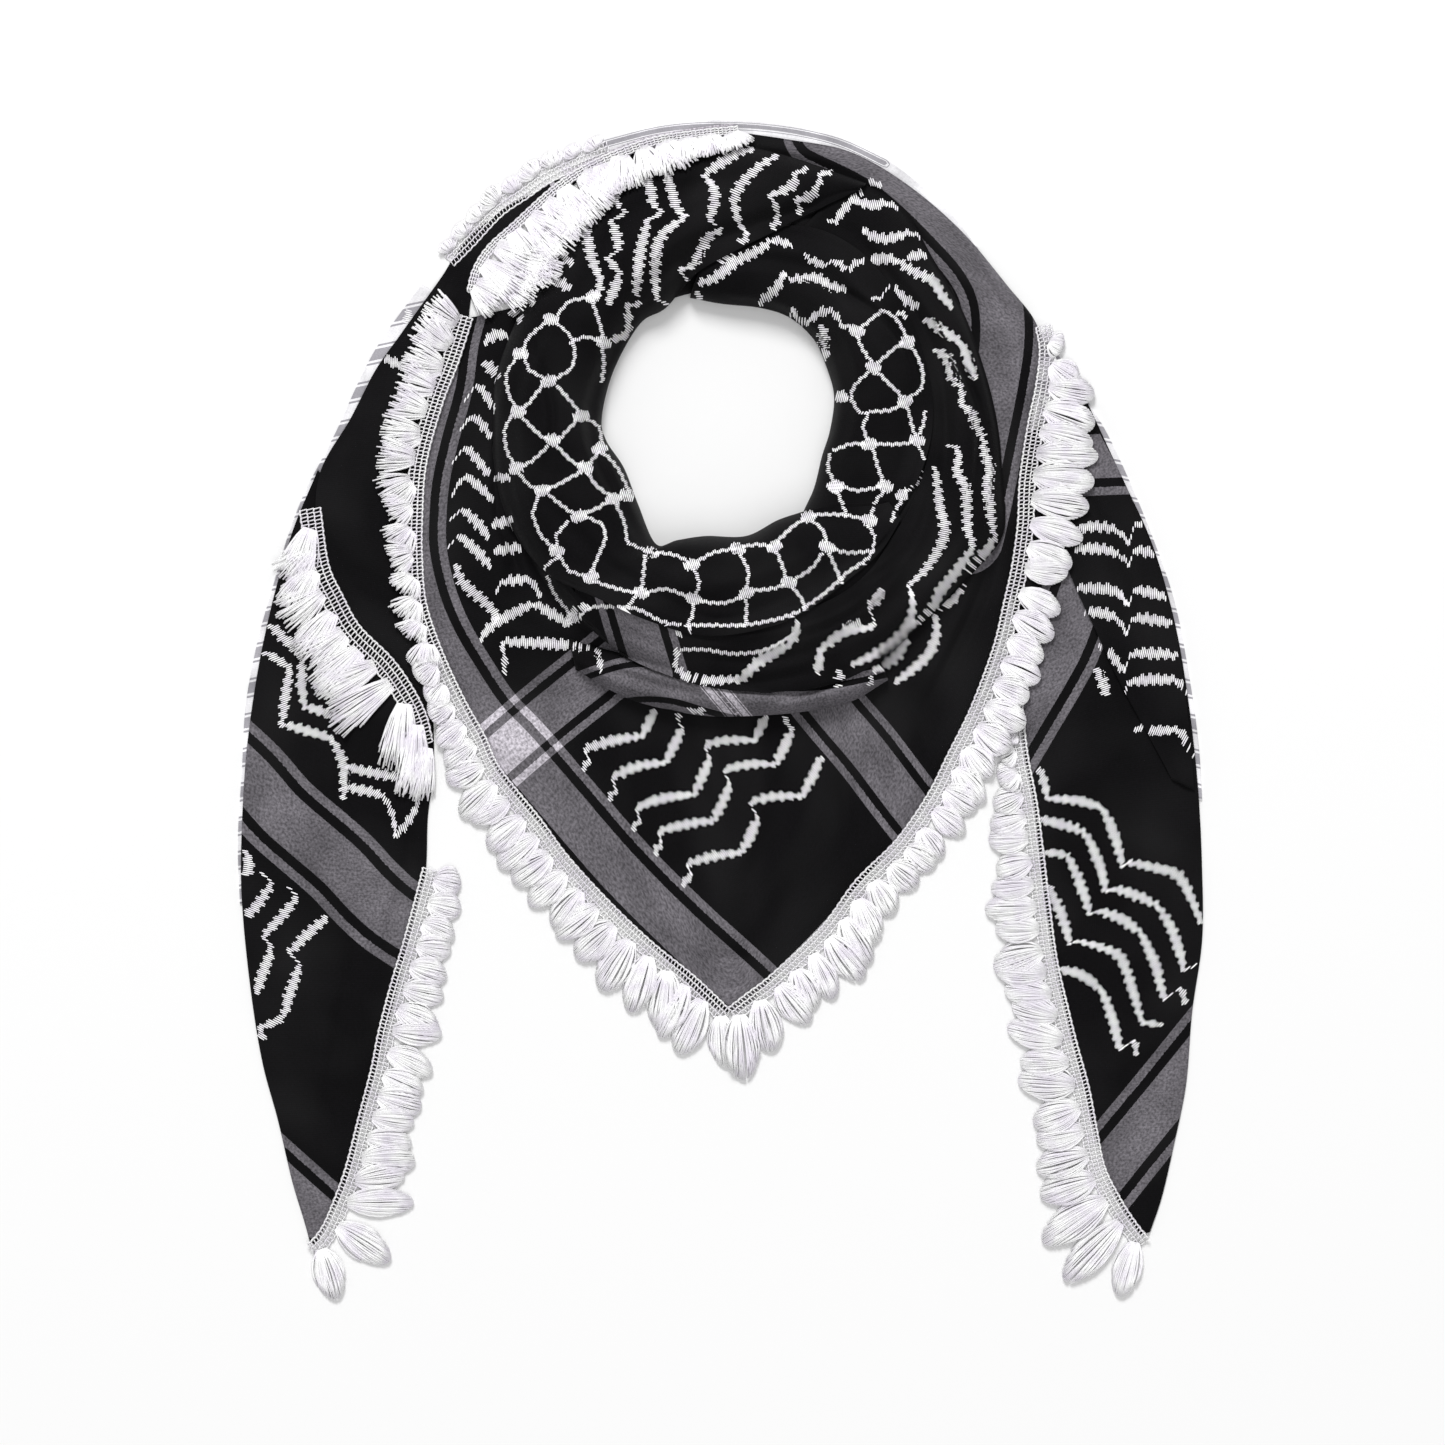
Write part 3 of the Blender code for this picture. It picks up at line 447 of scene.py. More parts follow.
# Net of the figure: its knots, and the thin lines between them.
KNOTS = [
    (-85, 195), (-86, 164), (-101, 149), (-70, 147), (-84, 135), (-102, 121), (-68, 121), (-89, 110),
    (-100, 178), (-64, 206), (-59, 184), (-61, 131), (-47, 108), (-71, 97), (-82, 80), (-54, 106),
    (-35, 79), (-65, 67), (-40, 59), (-15, 73), (-14, 56), (-19, 40), (8, 81), (12, 59), (33, 64),
    (26, 82), (52, 82), (43, 97), (73, 95), (-74, 47), (56, 112), (92, 184), (75, 171), (91, 154),
    (59, 157), (73, 133), (97, 135), (57, 112), (81, 112), (90, 108), (67, 189), (50, 178),
]
NET_LINES = [
    [(-21, 31), (-9, 31), (6, 29), (22, 31), (36, 39)],
    [(-88, 193), (-96, 186), (-99, 179), (-96, 170), (-88, 165)],
    [(-82, 193), (-75, 186), (-73, 177), (-75, 170), (-83, 165)],
    [(-82, 197), (-76, 204), (-65, 206), (-62, 197), (-59, 186)],
    [(-76, 183), (-68, 186), (-60, 184), (-59, 174), (-60, 164)], [(-89, 162), (-96, 153), (-100, 150)],
    [(-82, 162), (-75, 154), (-71, 149)], [(-99, 146), (-90, 137), (-86, 135)],
    [(-72, 145), (-79, 137), (-82, 135)], [(-104, 148), (-108, 140), (-107, 130), (-103, 123)],
    [(-102, 176), (-107, 168), (-106, 158), (-102, 151)], [(-67, 146), (-61, 142), (-60, 134)],
    [(-86, 132), (-95, 124), (-101, 122)], [(-82, 132), (-74, 124), (-69, 122)],
    [(-101, 119), (-96, 113), (-90, 110)], [(-70, 119), (-79, 114), (-87, 110)],
    [(-66, 123), (-63, 127), (-61, 130)], [(-59, 129), (-52, 121), (-46, 109)],
    [(-91, 108), (-94, 98), (-90, 88), (-83, 81)], [(-86, 108), (-79, 102), (-73, 98)],
    [(-76, 95), (-82, 88), (-82, 82)], [(-67, 119), (-62, 112), (-55, 107)],
    [(-69, 98), (-62, 101), (-56, 105)], [(-68, 97), (-59, 93), (-58, 86), (-62, 76), (-65, 69)],
    [(-54, 105), (-49, 95), (-47, 84), (-38, 80)], [(-38, 78), (-39, 68), (-40, 60)],
    [(-33, 79), (-24, 78), (-16, 74)], [(-13, 74), (-4, 79), (7, 81)], [(-14, 71), (-11, 64), (-13, 58)],
    [(-64, 65), (-52, 61), (-42, 59)], [(-38, 59), (-28, 61), (-16, 57)], [(-81, 78), (-76, 70), (-67, 67)],
    [(-80, 78), (-88, 72), (-84, 60), (-75, 48)],
    [(-73, 46), (-64, 52), (-52, 52), (-42, 51), (-30, 45), (-20, 43)], [(-43, 57), (-46, 53), (-47, 51)],
    [(-14, 54), (-15, 47), (-18, 42)], [(-17, 43), (-4, 43), (10, 43), (27, 46), (39, 50)],
    [(9, 78), (13, 70), (12, 61)], [(-11, 55), (0, 54), (10, 57)], [(12, 56), (12, 47), (11, 42)],
    [(14, 60), (24, 61), (31, 63)], [(10, 82), (18, 83), (25, 82)], [(27, 80), (30, 72), (32, 66)],
    [(35, 62), (40, 55), (41, 49)], [(35, 65), (44, 71), (50, 79)], [(27, 84), (34, 91), (41, 96)],
    [(45, 95), (50, 90), (52, 84)], [(45, 98), (58, 98), (70, 96)], [(54, 81), (63, 79), (76, 80)],
    [(53, 79), (57, 70), (60, 64)], [(72, 93), (76, 87), (73, 77), (62, 69), (51, 59), (40, 51)],
    [(94, 182), (98, 175), (100, 167), (99, 160), (94, 157), (92, 155)], [(90, 184), (85, 180), (77, 173)],
    [(74, 174), (70, 180), (67, 187)], [(73, 169), (66, 162), (64, 156), (68, 149), (73, 148)],
    [(77, 169), (84, 162), (90, 156)], [(89, 153), (84, 150), (73, 149), (70, 142), (72, 135)],
    [(92, 152), (94, 144), (96, 137)], [(95, 134), (86, 133), (76, 133)],
    [(98, 138), (100, 143), (101, 150)], [(98, 132), (101, 124), (97, 114), (91, 109)],
    [(71, 133), (64, 133), (55, 130)], [(54, 129), (53, 121), (56, 114)], [(75, 131), (77, 123), (80, 114)],
    [(59, 112), (68, 110), (79, 112)], [(57, 110), (60, 103), (62, 97)], [(90, 106), (86, 100), (84, 94)],
    [(81, 110), (76, 104), (74, 97)], [(80, 200), (74, 195), (68, 190)], [(80, 200), (87, 195), (92, 186)],
]


class Pile:
    """How high the pile stands so far, on a grid of one-millimetre cells, kept for each piece."""

    def __init__(self):
        self.tops = {}

    def support(self):
        """The height of everything laid so far, each cell taking its neighbours' highest."""
        height = np.zeros((2 * REACH, 2 * REACH))
        for top in self.tops.values():
            height = np.maximum(height, top)
        return widened(height)

    def add(self, name, points):
        """Adds a piece by points that lie closer together on it than the cells do."""
        top = np.zeros((2 * REACH, 2 * REACH))
        np.maximum.at(top, cells(points), points[:, 2])
        self.tops[name] = np.maximum(self.tops.get(name, 0), top)


def widened(height):
    """A height map in which each cell takes the highest of its neighbours."""
    grown = height.copy()
    for step_y in (-1, 0, 1):
        for step_x in (-1, 0, 1):
            grown = np.maximum(grown, np.roll(height, (step_y, step_x), (0, 1)))
    return grown


def cells(points):
    """The rows and columns of the grid cells that points fall in."""
    index = np.clip(np.floor(points[..., :2] + REACH).astype(int), 0, 2 * REACH - 1)
    return index[..., 1], index[..., 0]


def softened(values, passes):
    """A map in which each value is drawn towards its neighbours, that many times over."""
    for _ in range(passes):
        edged = np.pad(values, 1, mode="edge")
        values = (edged[:-2, 1:-1] + edged[2:, 1:-1] + edged[1:-1, :-2] + edged[1:-1, 2:] + 4 * values) / 8
    return values


def smooth_rows(table, per_row):
    """Rows of a table, with per_row sections for each row on a smooth curve through them."""
    rows = np.array(table, float)
    padded = np.vstack([2 * rows[0] - rows[1], rows, 2 * rows[-1] - rows[-2]])
    sections = []
    for i in range(1, len(rows)):
        before, start, end, after = padded[i - 1:i + 3]
        for k in range(per_row):
            f = k / per_row
            lean = 2 * before - 5 * start + 4 * end - after
            curl = 3 * start - before - 3 * end + after
            sections.append(start + 0.5 * f * (end - before + f * (lean + f * curl)))
    sections.append(rows[-1])
    return np.array(sections)


def even_rows(rows, spacing):
    """The rows again, evenly spaced along the line midway between their two edges."""
    middle = (rows[:, :2] + rows[:, 2:4]) / 2
    along = gone_along(middle)
    count = int(along[-1] / spacing) + 2
    wanted = np.linspace(0, along[-1], count)
    return np.column_stack([np.interp(wanted, along, column) for column in rows.T])


def arch(t):
    """A rounded rise over the width of a stretch: 0 at both edges, 1 at the middle."""
    return np.power(np.clip(1 - np.abs(2 * t - 1) ** FULLNESS, 0, 1), 0.5)


def crease_depth(creases, plan):
    """How far the creases of a stretch press it down at points of the plan, in millimetres."""
    depth = np.zeros(plan.shape[:2])
    for most, half_width, line in creases:
        bent = smooth_rows(line, 6)
        lengths = np.linalg.norm(np.diff(bent, axis=0), axis=1)
        starts = gone_along(bent)
        nearest = np.full(plan.shape[:2], 1e9)
        share = np.zeros(plan.shape[:2])
        for start, end, length, begun in zip(bent[:-1], bent[1:], lengths, starts[:-1]):
            f = np.clip(((plan - start) @ (end - start)) / length ** 2, 0, 1)
            away = np.linalg.norm(plan - start - f[..., None] * (end - start), axis=-1)
            closer = away < nearest
            share = np.where(closer, (begun + f * length) / starts[-1], share)
            nearest = np.minimum(nearest, away)
        fade = np.sin(math.pi * np.clip(share, 0.02, 0.98)) ** 0.6
        uneven = 1 + 0.3 * np.sin(9 * share + most)
        across = np.clip(1 - nearest / (half_width * (0.75 + 0.35 * uneven)), 0, 1)
        depth += most * fade * across * across * (3 - 2 * across)
    return depth


def ripple(x, y, size, height):
    """A gentle unevenness of that size and height over the plan."""
    along_x = np.sin(x / size + 1.7 * np.sin(y / size / 1.3))
    along_y = np.sin(y / size / 0.8 + 1.3 * np.sin(x / size / 1.7))
    return 0.5 * height * (along_x + along_y)


def distance_to_line(points, line):
    """How far each point is from a line of many short runs."""
    nearest = np.full(points.shape[:-1], BAND_REACH)
    bent = smooth_rows(line, 4)
    for start, end in zip(bent[:-1], bent[1:]):
        run = end - start
        f = np.clip(((points - start) @ run) / (run @ run), 0, 1)
        away = np.linalg.norm(points - start - f[..., None] * run, axis=-1)
        nearest = np.minimum(nearest, away)
    return nearest


class Stretch:
    """The form of one stretch of cloth: a grid of points over its sections, laid on the pile."""

    def __init__(self, name, table, uneven):
        rows = even_rows(smooth_rows(table, SECTIONS), SPACING)
        self.name = name
        self.width = np.linalg.norm(rows[:, 2:4] - rows[:, :2], axis=1).max() + 2 * rows[:, 4].max()
        self.across = int(self.width / SPACING) + 3
        self.along = len(rows)
        u = np.linspace(0, 1, self.across)[None, :].repeat(self.along, axis=0)
        t = 0.5 - 0.5 * np.cos(math.pi * u)
        near = rows[:, None, :2]
        far = rows[:, None, 2:4]
        plan = near * (1 - t)[..., None] + far * t[..., None]
        rise = arch(t)
        depth = crease_depth(CREASES.get(name, ()), plan)
        height = rows[:, 4][:, None] * rise - depth * np.minimum(1, 3 * rise)
        height += ripple(plan[..., 0], plan[..., 1], 19, uneven) * np.minimum(1, 3 * rise)
        support = pile.support()[cells(plan)]
        floor = np.where(support > 0, support + GAP, 0) + CLOTH
        lift = np.maximum(0, floor - height)
        raised = lift
        for _ in range(DRAPE_PASSES):
            raised = np.maximum(lift, softened(raised, 1))
        self.points = np.dstack([plan, height + raised])
        self.measure()
        pile.add(name, self.closer(3).reshape(-1, 3))

    def measure(self):
        """Distances over the cloth, its normals, and where each cell of the plan falls on it."""
        side = np.linalg.norm(np.diff(self.points, axis=1), axis=2)
        run = np.linalg.norm(np.diff(self.points, axis=0), axis=2)
        self.over = np.pad(np.cumsum(side, axis=1), ((0, 0), (1, 0)))
        self.down = np.pad(np.cumsum(run.mean(axis=1)), (1, 0))
        self.area = (side[:-1] * run[:, :-1]).sum()
        slope_s, slope_t = np.gradient(self.points, axis=(0, 1))
        normal = np.cross(slope_t, slope_s)
        normal *= np.sign(normal[..., 2].sum())
        self.normals = normal / np.maximum(np.linalg.norm(normal, axis=2), 1e-9)[..., None]
        places = np.dstack(np.meshgrid(np.arange(self.along), np.arange(self.across), indexing="ij"))
        self.place = np.full((2 * REACH, 2 * REACH, 2), np.nan)
        dense = self.closer(3)
        dense_place = self.closer(3, places.astype(float))
        self.place[cells(dense)] = dense_place

    def closer(self, times, values=None):
        """The grid's points, or values at them, that many times as close together."""
        grid = self.points if values is None else values
        rows = np.linspace(0, self.along - 1, (self.along - 1) * times + 1)
        columns = np.linspace(0, self.across - 1, (self.across - 1) * times + 1)
        places = np.dstack(np.meshgrid(rows, columns, indexing="ij"))
        return blended(grid, places)

    def locate(self, plan):
        """Places on the grid under points of the plan, and which of them lie on the cloth."""
        place = self.place[cells(plan)]
        known = ~np.isnan(place[..., 0])
        place = np.where(known[..., None], place, 0)
        limit = np.array([self.along - 1.001, self.across - 1.001])
        for _ in range(3):
            here = blended(self.points, place)
            ahead, aside = [blended(self.points, np.minimum(place + half, limit))
                            - blended(self.points, np.maximum(place - half, 0))
                            for half in ((0.5, 0), (0, 0.5))]
            off = plan - here[..., :2]
            turn = ahead[..., 0] * aside[..., 1] - ahead[..., 1] * aside[..., 0]
            turn = np.where(np.abs(turn) < 0.05, 0.05, turn)
            step_s = (off[..., 0] * aside[..., 1] - off[..., 1] * aside[..., 0]) / turn
            step_t = (ahead[..., 0] * off[..., 1] - ahead[..., 1] * off[..., 0]) / turn
            step = np.clip(np.stack([step_s, step_t], axis=-1), -1, 1)
            place = np.clip(place + step, 0, limit)
        return place, known


def blended(grid, places):
    """Values between the points of a grid, at fractional rows and columns."""
    low = np.floor(places).astype(int)
    row = np.minimum(low[..., 0], grid.shape[0] - 2)
    column = np.minimum(low[..., 1], grid.shape[1] - 2)
    f = (places[..., 0] - row)[..., None]
    g = (places[..., 1] - column)[..., None]
    return ((1 - f) * (1 - g) * grid[row, column] + f * (1 - g) * grid[row + 1, column]
            + (1 - f) * g * grid[row, column + 1] + f * g * grid[row + 1, column + 1])


def in_frame(points):
    """Points of the tables, in millimetres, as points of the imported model's frame, in metres."""
    return (np.asarray(points) + (SHIFT_X, SHIFT_Y, 0)) * MM


def put(name, data):
    """A new object of the scene, at its origin."""
    made = bpy.data.objects.new(name, data)
    bpy.context.scene.collection.objects.link(made)
    return made


def show(name, data, material):
    """A finished piece of the object, riding on its one body."""
    data.materials.append(material)
    piece = put(name, data)
    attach(piece, "root")
    return piece


def weave(stretch, material):
    """The cloth of one stretch, as a thin shell with its bands and its threads' directions on it."""
    grid = bmesh.new()
    bmesh.ops.create_grid(grid, x_segments=stretch.across - 1, y_segments=stretch.along - 1, size=0.5)
    data = bpy.data.meshes.new(stretch.name + "_cloth")
    grid.to_mesh(data)
    grid.free()
    spots = np.empty(len(data.vertices) * 3)
    data.vertices.foreach_get("co", spots)
    spots = spots.reshape(-1, 3) + 0.5
    row = np.rint(spots[:, 1] * (stretch.along - 1)).astype(int)
    column = np.rint(spots[:, 0] * (stretch.across - 1)).astype(int)
    placed = in_frame(stretch.points[row, column])
    data.vertices.foreach_set("co", placed.ravel())
    corner = np.empty(len(data.loops), int)
    data.loops.foreach_get("vertex_index", corner)
    threads = np.column_stack([stretch.over[row, column], stretch.down[row]]) * MM
    uv_map = data.uv_layers.new(name="threads")
    uv_map.data.foreach_set("uv", threads[corner].ravel())
    plan = stretch.points[..., :2]
    for system in ("warp", "weft"):
        away = np.full(plan.shape[:2], BAND_REACH)
        for width, named, line in BANDS.get(stretch.name, ()):
            if named == system:
                away = np.minimum(away, distance_to_line(plan, line) / width)
        layer = data.attributes.new("from_" + system + "_band", "FLOAT", "POINT")
        layer.data.foreach_set("value", away[row, column])
    data.update()
    if data.polygons[len(data.polygons) // 2].normal.z < 0:
        data.flip_normals()
    data.shade_smooth()
    piece = show(stretch.name + "_cloth", data, material)
    shell = piece.modifiers.new("thickness", "SOLIDIFY")
    shell.thickness = CLOTH * MM
    shell.offset = -1
    return piece


def joined_copies(name, pattern, places):
    """One mesh of many copies of a small closed shape. places[k] holds where copy k has its corners."""
    faces = [[vert.index for vert in face.verts] for face in pattern.faces]
    sizes = np.array([len(face) for face in faces])
    corners = np.concatenate(faces)
    copies, count, _ = places.shape
    starts = np.arange(copies) * count
    data = bpy.data.meshes.new(name)
    data.vertices.add(copies * count)
    data.vertices.foreach_set("co", in_frame(places).ravel())
    data.loops.add(copies * len(corners))
    data.loops.foreach_set("vertex_index", (corners[None, :] + starts[:, None]).ravel())
    data.polygons.add(copies * len(faces))
    ends = np.cumsum(np.tile(sizes, copies))
    data.polygons.foreach_set("loop_start", ends - np.tile(sizes, copies))
    data.update(calc_edges=True)
    data.validate()
    data.shade_smooth()
    return data


def float_pattern():
    """A float of the figure: a flat pad of thread, three rows of three points, on its own underside."""
    pad = bmesh.new()
    bmesh.ops.create_grid(pad, x_segments=2, y_segments=2, size=1)
    pad.verts.ensure_lookup_table()
    spots = np.array([vert.co[:2] for vert in pad.verts])
    return pad, spots


def gone_along(line):
    """How far along a line each of its points is."""
    return np.concatenate([[0], np.cumsum(np.linalg.norm(np.diff(line, axis=0), axis=1))])


def heading_at(path, along, at, window):
    """The general direction of a line at a distance along it, over a window that its turns don't sway."""
    before, after = [np.array([np.interp(end, along, axis) for axis in path.T])
                     for end in (max(at - window, 0), min(at + window, along[-1]))]
    return (after - before) / max(np.linalg.norm(after - before), 1e-6)


def staggered(count):
    """Steps to one side and the other by turns, each two floats long and uneven, from -1 to 1."""
    pairs = np.arange(count // 2 + 1)
    steps = np.where(pairs % 2, 1, -1) * chance.uniform(0.3, 1, len(pairs))
    return np.repeat(steps, 2)[:count]


def runs_between_cusps(path, bulge):
    """The runs of a line between its sharp turns, each as a curve that bulges a little to its left."""
    steps = np.diff(path, axis=0)
    steps /= np.linalg.norm(steps, axis=1)[:, None]
    sharp = (steps[:-1] * steps[1:]).sum(axis=1) < math.cos(math.radians(CUSP))
    cusps = [0, *(np.flatnonzero(sharp) + 1), len(path) - 1]
    for first, last in zip(cusps[:-1], cusps[1:]):
        run = smooth_rows(path[first:last + 1], 12)
        chord = run[-1] - run[0]
        swell = np.sin(math.pi * np.linspace(0, 1, len(run)))[:, None]
        yield first, run + bulge * swell * np.array([-chord[1], chord[0]])


def wave_floats(turns, thickest=5.3, thinnest=2.0, window=24, rough=1.35, bulge=0.03):
    """The floats of one line of the figure: their middles, and half of each one's length as a vector."""
    path = np.array(turns, float)
    along = gone_along(path)
    middles, halves = [], []
    for first, run in runs_between_cusps(path, bulge):
        gone = gone_along(run)
        length = gone[-1]
        heading = heading_at(path, along, along[first] + length / 2, window)
        direction = np.array([-heading[1], heading[0]])
        forward = abs((run[-1] - run[0]) @ heading)
        count = int(max(forward / FLOAT_PITCH, length / 2.6, 2))
        f = (np.arange(count) + 0.5) / count
        body = np.clip((length - 4) / 7, 0, 1) * np.clip(forward / length * 1.5 - 0.3, 0, 1)
        reach = thinnest + (thickest - thinnest) * body * np.sin(math.pi * f) ** 0.5
        reach = np.maximum(reach, 1.05 * abs((run[-1] - run[0]) @ direction) / count)
        reach = np.maximum(reach + chance.uniform(-0.45, 0.45, count) * rough, 1.0)
        centre = np.column_stack([np.interp(f * length, gone, axis) for axis in run.T])
        centre = centre + direction * (0.6 * rough * staggered(count))[:, None]
        middles.append(centre)
        halves.append(direction * (reach / 2)[:, None])
    return np.concatenate(middles), np.concatenate(halves)


def knot_floats(x, y, heading):
    """The floats of one knot of the net, widest in the middle."""
    f = (np.arange(KNOT_FLOATS) + 0.5) / (KNOT_FLOATS / 2) - 1
    direction = np.array([-heading[1], heading[0]])
    middles = np.array([x, y]) + np.outer(f * KNOT_HALF, heading)
    reach = KNOT_REACH * np.sqrt(1 - f * f) + chance.uniform(-0.3, 0.6, KNOT_FLOATS)
    middles = middles + direction * chance.uniform(-0.5, 0.5, KNOT_FLOATS)[:, None]
    return middles, direction * reach[:, None]


def figure_floats():
    """Every float of the figure: the waves' and the net's."""
    made = [wave_floats(turns) for turns in WAVES]
    made += [wave_floats(line, 1.9, 1.7, 9, 0.6, 0.0) for line in NET_LINES]
    for number, (x, y) in enumerate(KNOTS):
        lean = math.radians(18 if number % 2 else -14)
        made.append(knot_floats(x, y, np.array([math.cos(lean), math.sin(lean)])))
    return [np.concatenate(part) for part in zip(*made)]


def weave_figure(stretch, top, middles, halves, material):
    """The white figure where this stretch is on top: each float is a raised pad of thread on the cloth."""
    here = pile.tops[stretch.name][cells(middles)] > top[cells(middles)] - 0.05
    middles = middles[here]
    halves = halves[here]
    if not len(middles):
        return None
    pad, spots = float_pattern()
    length = np.linalg.norm(halves, axis=1)[:, None]
    aside = np.column_stack([-halves[:, 1], halves[:, 0]]) / np.maximum(length, 1e-6)
    taper = 1 - 0.35 * spots[:, 1] ** 2
    plan = (middles[:, None] + spots[None, :, 1:2] * halves[:, None]
            + (spots[:, 0] * taper)[None, :, None] * aside[:, None] * 0.38 * FLOAT_PITCH)
    place, known = stretch.locate(plan)
    place = place[known.all(axis=1)]
    if not len(place):
        return None
    surface = blended(stretch.points, place)
    normal = blended(stretch.normals, place)
    rise = 0.12 + FLOAT_RISE * (1 - spots[:, 0] ** 2) * (1 - 0.8 * spots[:, 1] ** 2)
    placed = surface + normal * rise[None, :, None]
    data = joined_copies(stretch.name + "_figure", pad, placed)
    pad.free()
    if data.polygons[0].normal.z < 0:
        data.flip_normals()
    return show(stretch.name + "_figure", data, material)


def strand_pattern(rings):
    """A strand: a closed three-sided tube, with its rings evenly along it."""
    tube = bmesh.new()
    bmesh.ops.create_cone(tube, cap_ends=True, segments=3, radius1=1, radius2=1, depth=1)
    for ring in range(1, rings):
        everything = tube.verts[:] + tube.edges[:] + tube.faces[:]
        bmesh.ops.bisect_plane(tube, geom=everything, plane_co=(0, 0, ring / rings - 0.5), plane_no=(0, 0, 1))
    tube.verts.ensure_lookup_table()
    tube.verts.index_update()
    corners = np.array([vert.co[:] for vert in tube.verts])
    return tube, corners[:, :2], corners[:, 2] + 0.5


def tubes_along(lines, corners, share, radius):
    """Corners of a tube along each line. lines holds, for each, its points; share says how far along."""
    last = lines.shape[1] - 1
    at = share * last
    low = np.minimum(np.floor(at).astype(int), last - 1)
    f = (at - low)[None, :, None]
    middle = lines[:, low] * (1 - f) + lines[:, low + 1] * f
    run = lines[:, low + 1] - lines[:, low]
    run /= np.maximum(np.linalg.norm(run, axis=2), 1e-6)[..., None]
    side = np.cross(run, (0, 0, 1))
    side /= np.maximum(np.linalg.norm(side, axis=2), 1e-6)[..., None]
    up = np.cross(side, run)
    return middle + radius * (corners[None, :, :1] * side + corners[None, :, 1:] * up)


def rows_at(rows, along, at):
    """Edge points and tassel ends at distances along a trim."""
    picked = np.column_stack([np.interp(at, along, column) for column in rows.T])
    return picked[:, :2], picked[:, 2:4]


def lifted(base, points, extra):
    """Points of the plan as points in space, that far above the height map under the trim."""
    z = base[cells(points)] + TRIM_GAP
    return np.concatenate([points, (z + extra)[..., None]], axis=-1)


def make_tape(name, base, rows, along, width):
    """The openwork tape on the cloth's edge: four cords along it, and the rungs of a ladder between them."""
    tube, corners, share = strand_pattern(1)
    count = int(along[-1] / LADDER_STEP)
    at = np.linspace(0, along[-1], count + 1)
    odd = np.arange(len(at)) % 2
    edge, end = rows_at(rows, along, at)
    tangent = np.gradient(edge, axis=0)
    tangent /= np.linalg.norm(tangent, axis=1)[:, None]
    out = np.column_stack([tangent[:, 1], -tangent[:, 0]])
    out *= np.sign((out * (end - edge)).sum(axis=1))[:, None]
    pieces = []
    cords = np.linspace(-TAPE_LAP, width, 4)
    for number, offset in enumerate(cords):
        sway = 0.22 * np.where(odd, 1, -1)
        line = edge + out * (offset + sway)[:, None]
        points = lifted(base, line, 0.35 + 0.2 * odd)
        runs = np.stack([points[:-1], points[1:]], axis=1)
        thick = SELVEDGE_CORD if number in (0, 3) else INNER_CORD
        pieces.append(tubes_along(runs, corners, share, thick))
    for inner, outer in zip(cords[:-1], cords[1:]):
        start = edge + out * inner
        stop = edge + out * outer + tangent * 0.5
        runs = np.stack([lifted(base, start, 0.3), lifted(base, stop, 0.3)], axis=1)
        pieces.append(tubes_along(runs, corners, share, RUNG))
    data = joined_copies(name + "_tape", tube, np.concatenate(pieces))
    tube.free()
    return data


def tassel(edge, end, looped, tape, strands):
    """The strands of one tassel: lines on the plan, and how far their points stand off the trim's base."""
    reach = np.linalg.norm(end - edge)
    direction = (end - edge) / reach
    most = LOOPED_LEAN if looped else CUT_LEAN
    lean = math.radians(chance.uniform(-most, most))
    turned = np.array([direction[0] * math.cos(lean) - direction[1] * math.sin(lean),
                       direction[0] * math.sin(lean) + direction[1] * math.cos(lean)])
    aside = np.array([-turned[1], turned[0]])
    length = max(reach - tape * 0.8, 5) * chance.uniform(0.86, 1.08)
    half = TASSEL_PITCH * chance.uniform(0.6, 0.78) * min(1, length / 14 + 0.3)
    start = edge + direction * tape * 0.8
    offset = np.linspace(-1, 1, strands) + chance.uniform(-0.06, 0.06, strands)
    layer = chance.uniform(0.35, 1, strands)
    f = np.linspace(0, 1, 6)
    curl = chance.uniform(-0.12, 0.12, strands)
    if looped:
        spread = 0.3 + 0.7 * np.sin(math.pi * np.clip(f * 0.62, 0, 1)) ** 0.8
        full = length * np.sqrt(1 - 0.82 * np.clip(offset, -1, 1) ** 2 * 0.75)
        roll = 1 + offset
    else:
        spread = 0.45 + 0.85 * f ** 0.8
        full = length * (1 - 0.1 * offset ** 2) * chance.uniform(0.72, 1.12, strands)
        roll = 1 - offset
    sideways = offset[:, None] * half * spread[None] + curl[:, None] * half * np.sin(math.pi * f)[None]
    forward = full[:, None] * f[None]
    plan = start + forward[..., None] * turned + sideways[..., None] * aside
    crown = np.sin(math.pi * (0.12 + 0.8 * f))
    puff = 0.5 + 1.9 * layer[:, None] * (1 - 0.55 * offset[:, None] ** 2) * crown[None]
    return plan, puff + 0.7 * roll[:, None] * f[None]


def make_tassels(name, base, rows, along, cut_until, tape, strands):
    """The tassels of a trim, cut open up to that share of it and looped past it, and their strands' lines."""
    tube, corners, share = strand_pattern(4)
    total = along[-1]
    at = np.linspace(0.4 * TASSEL_PITCH, total - 0.4 * TASSEL_PITCH, int(total / TASSEL_PITCH) + 1)
    lines = []
    for edge, end, place in zip(*rows_at(rows, along, at), at):
        plan, puff = tassel(edge, end, place >= cut_until * total, tape, strands)
        lines.append(lifted(base, plan, puff))
    lines = np.concatenate(lines)
    data = joined_copies(name + "_strands", tube, tubes_along(lines, corners, share, STRAND))
    tube.free()
    return data, lines


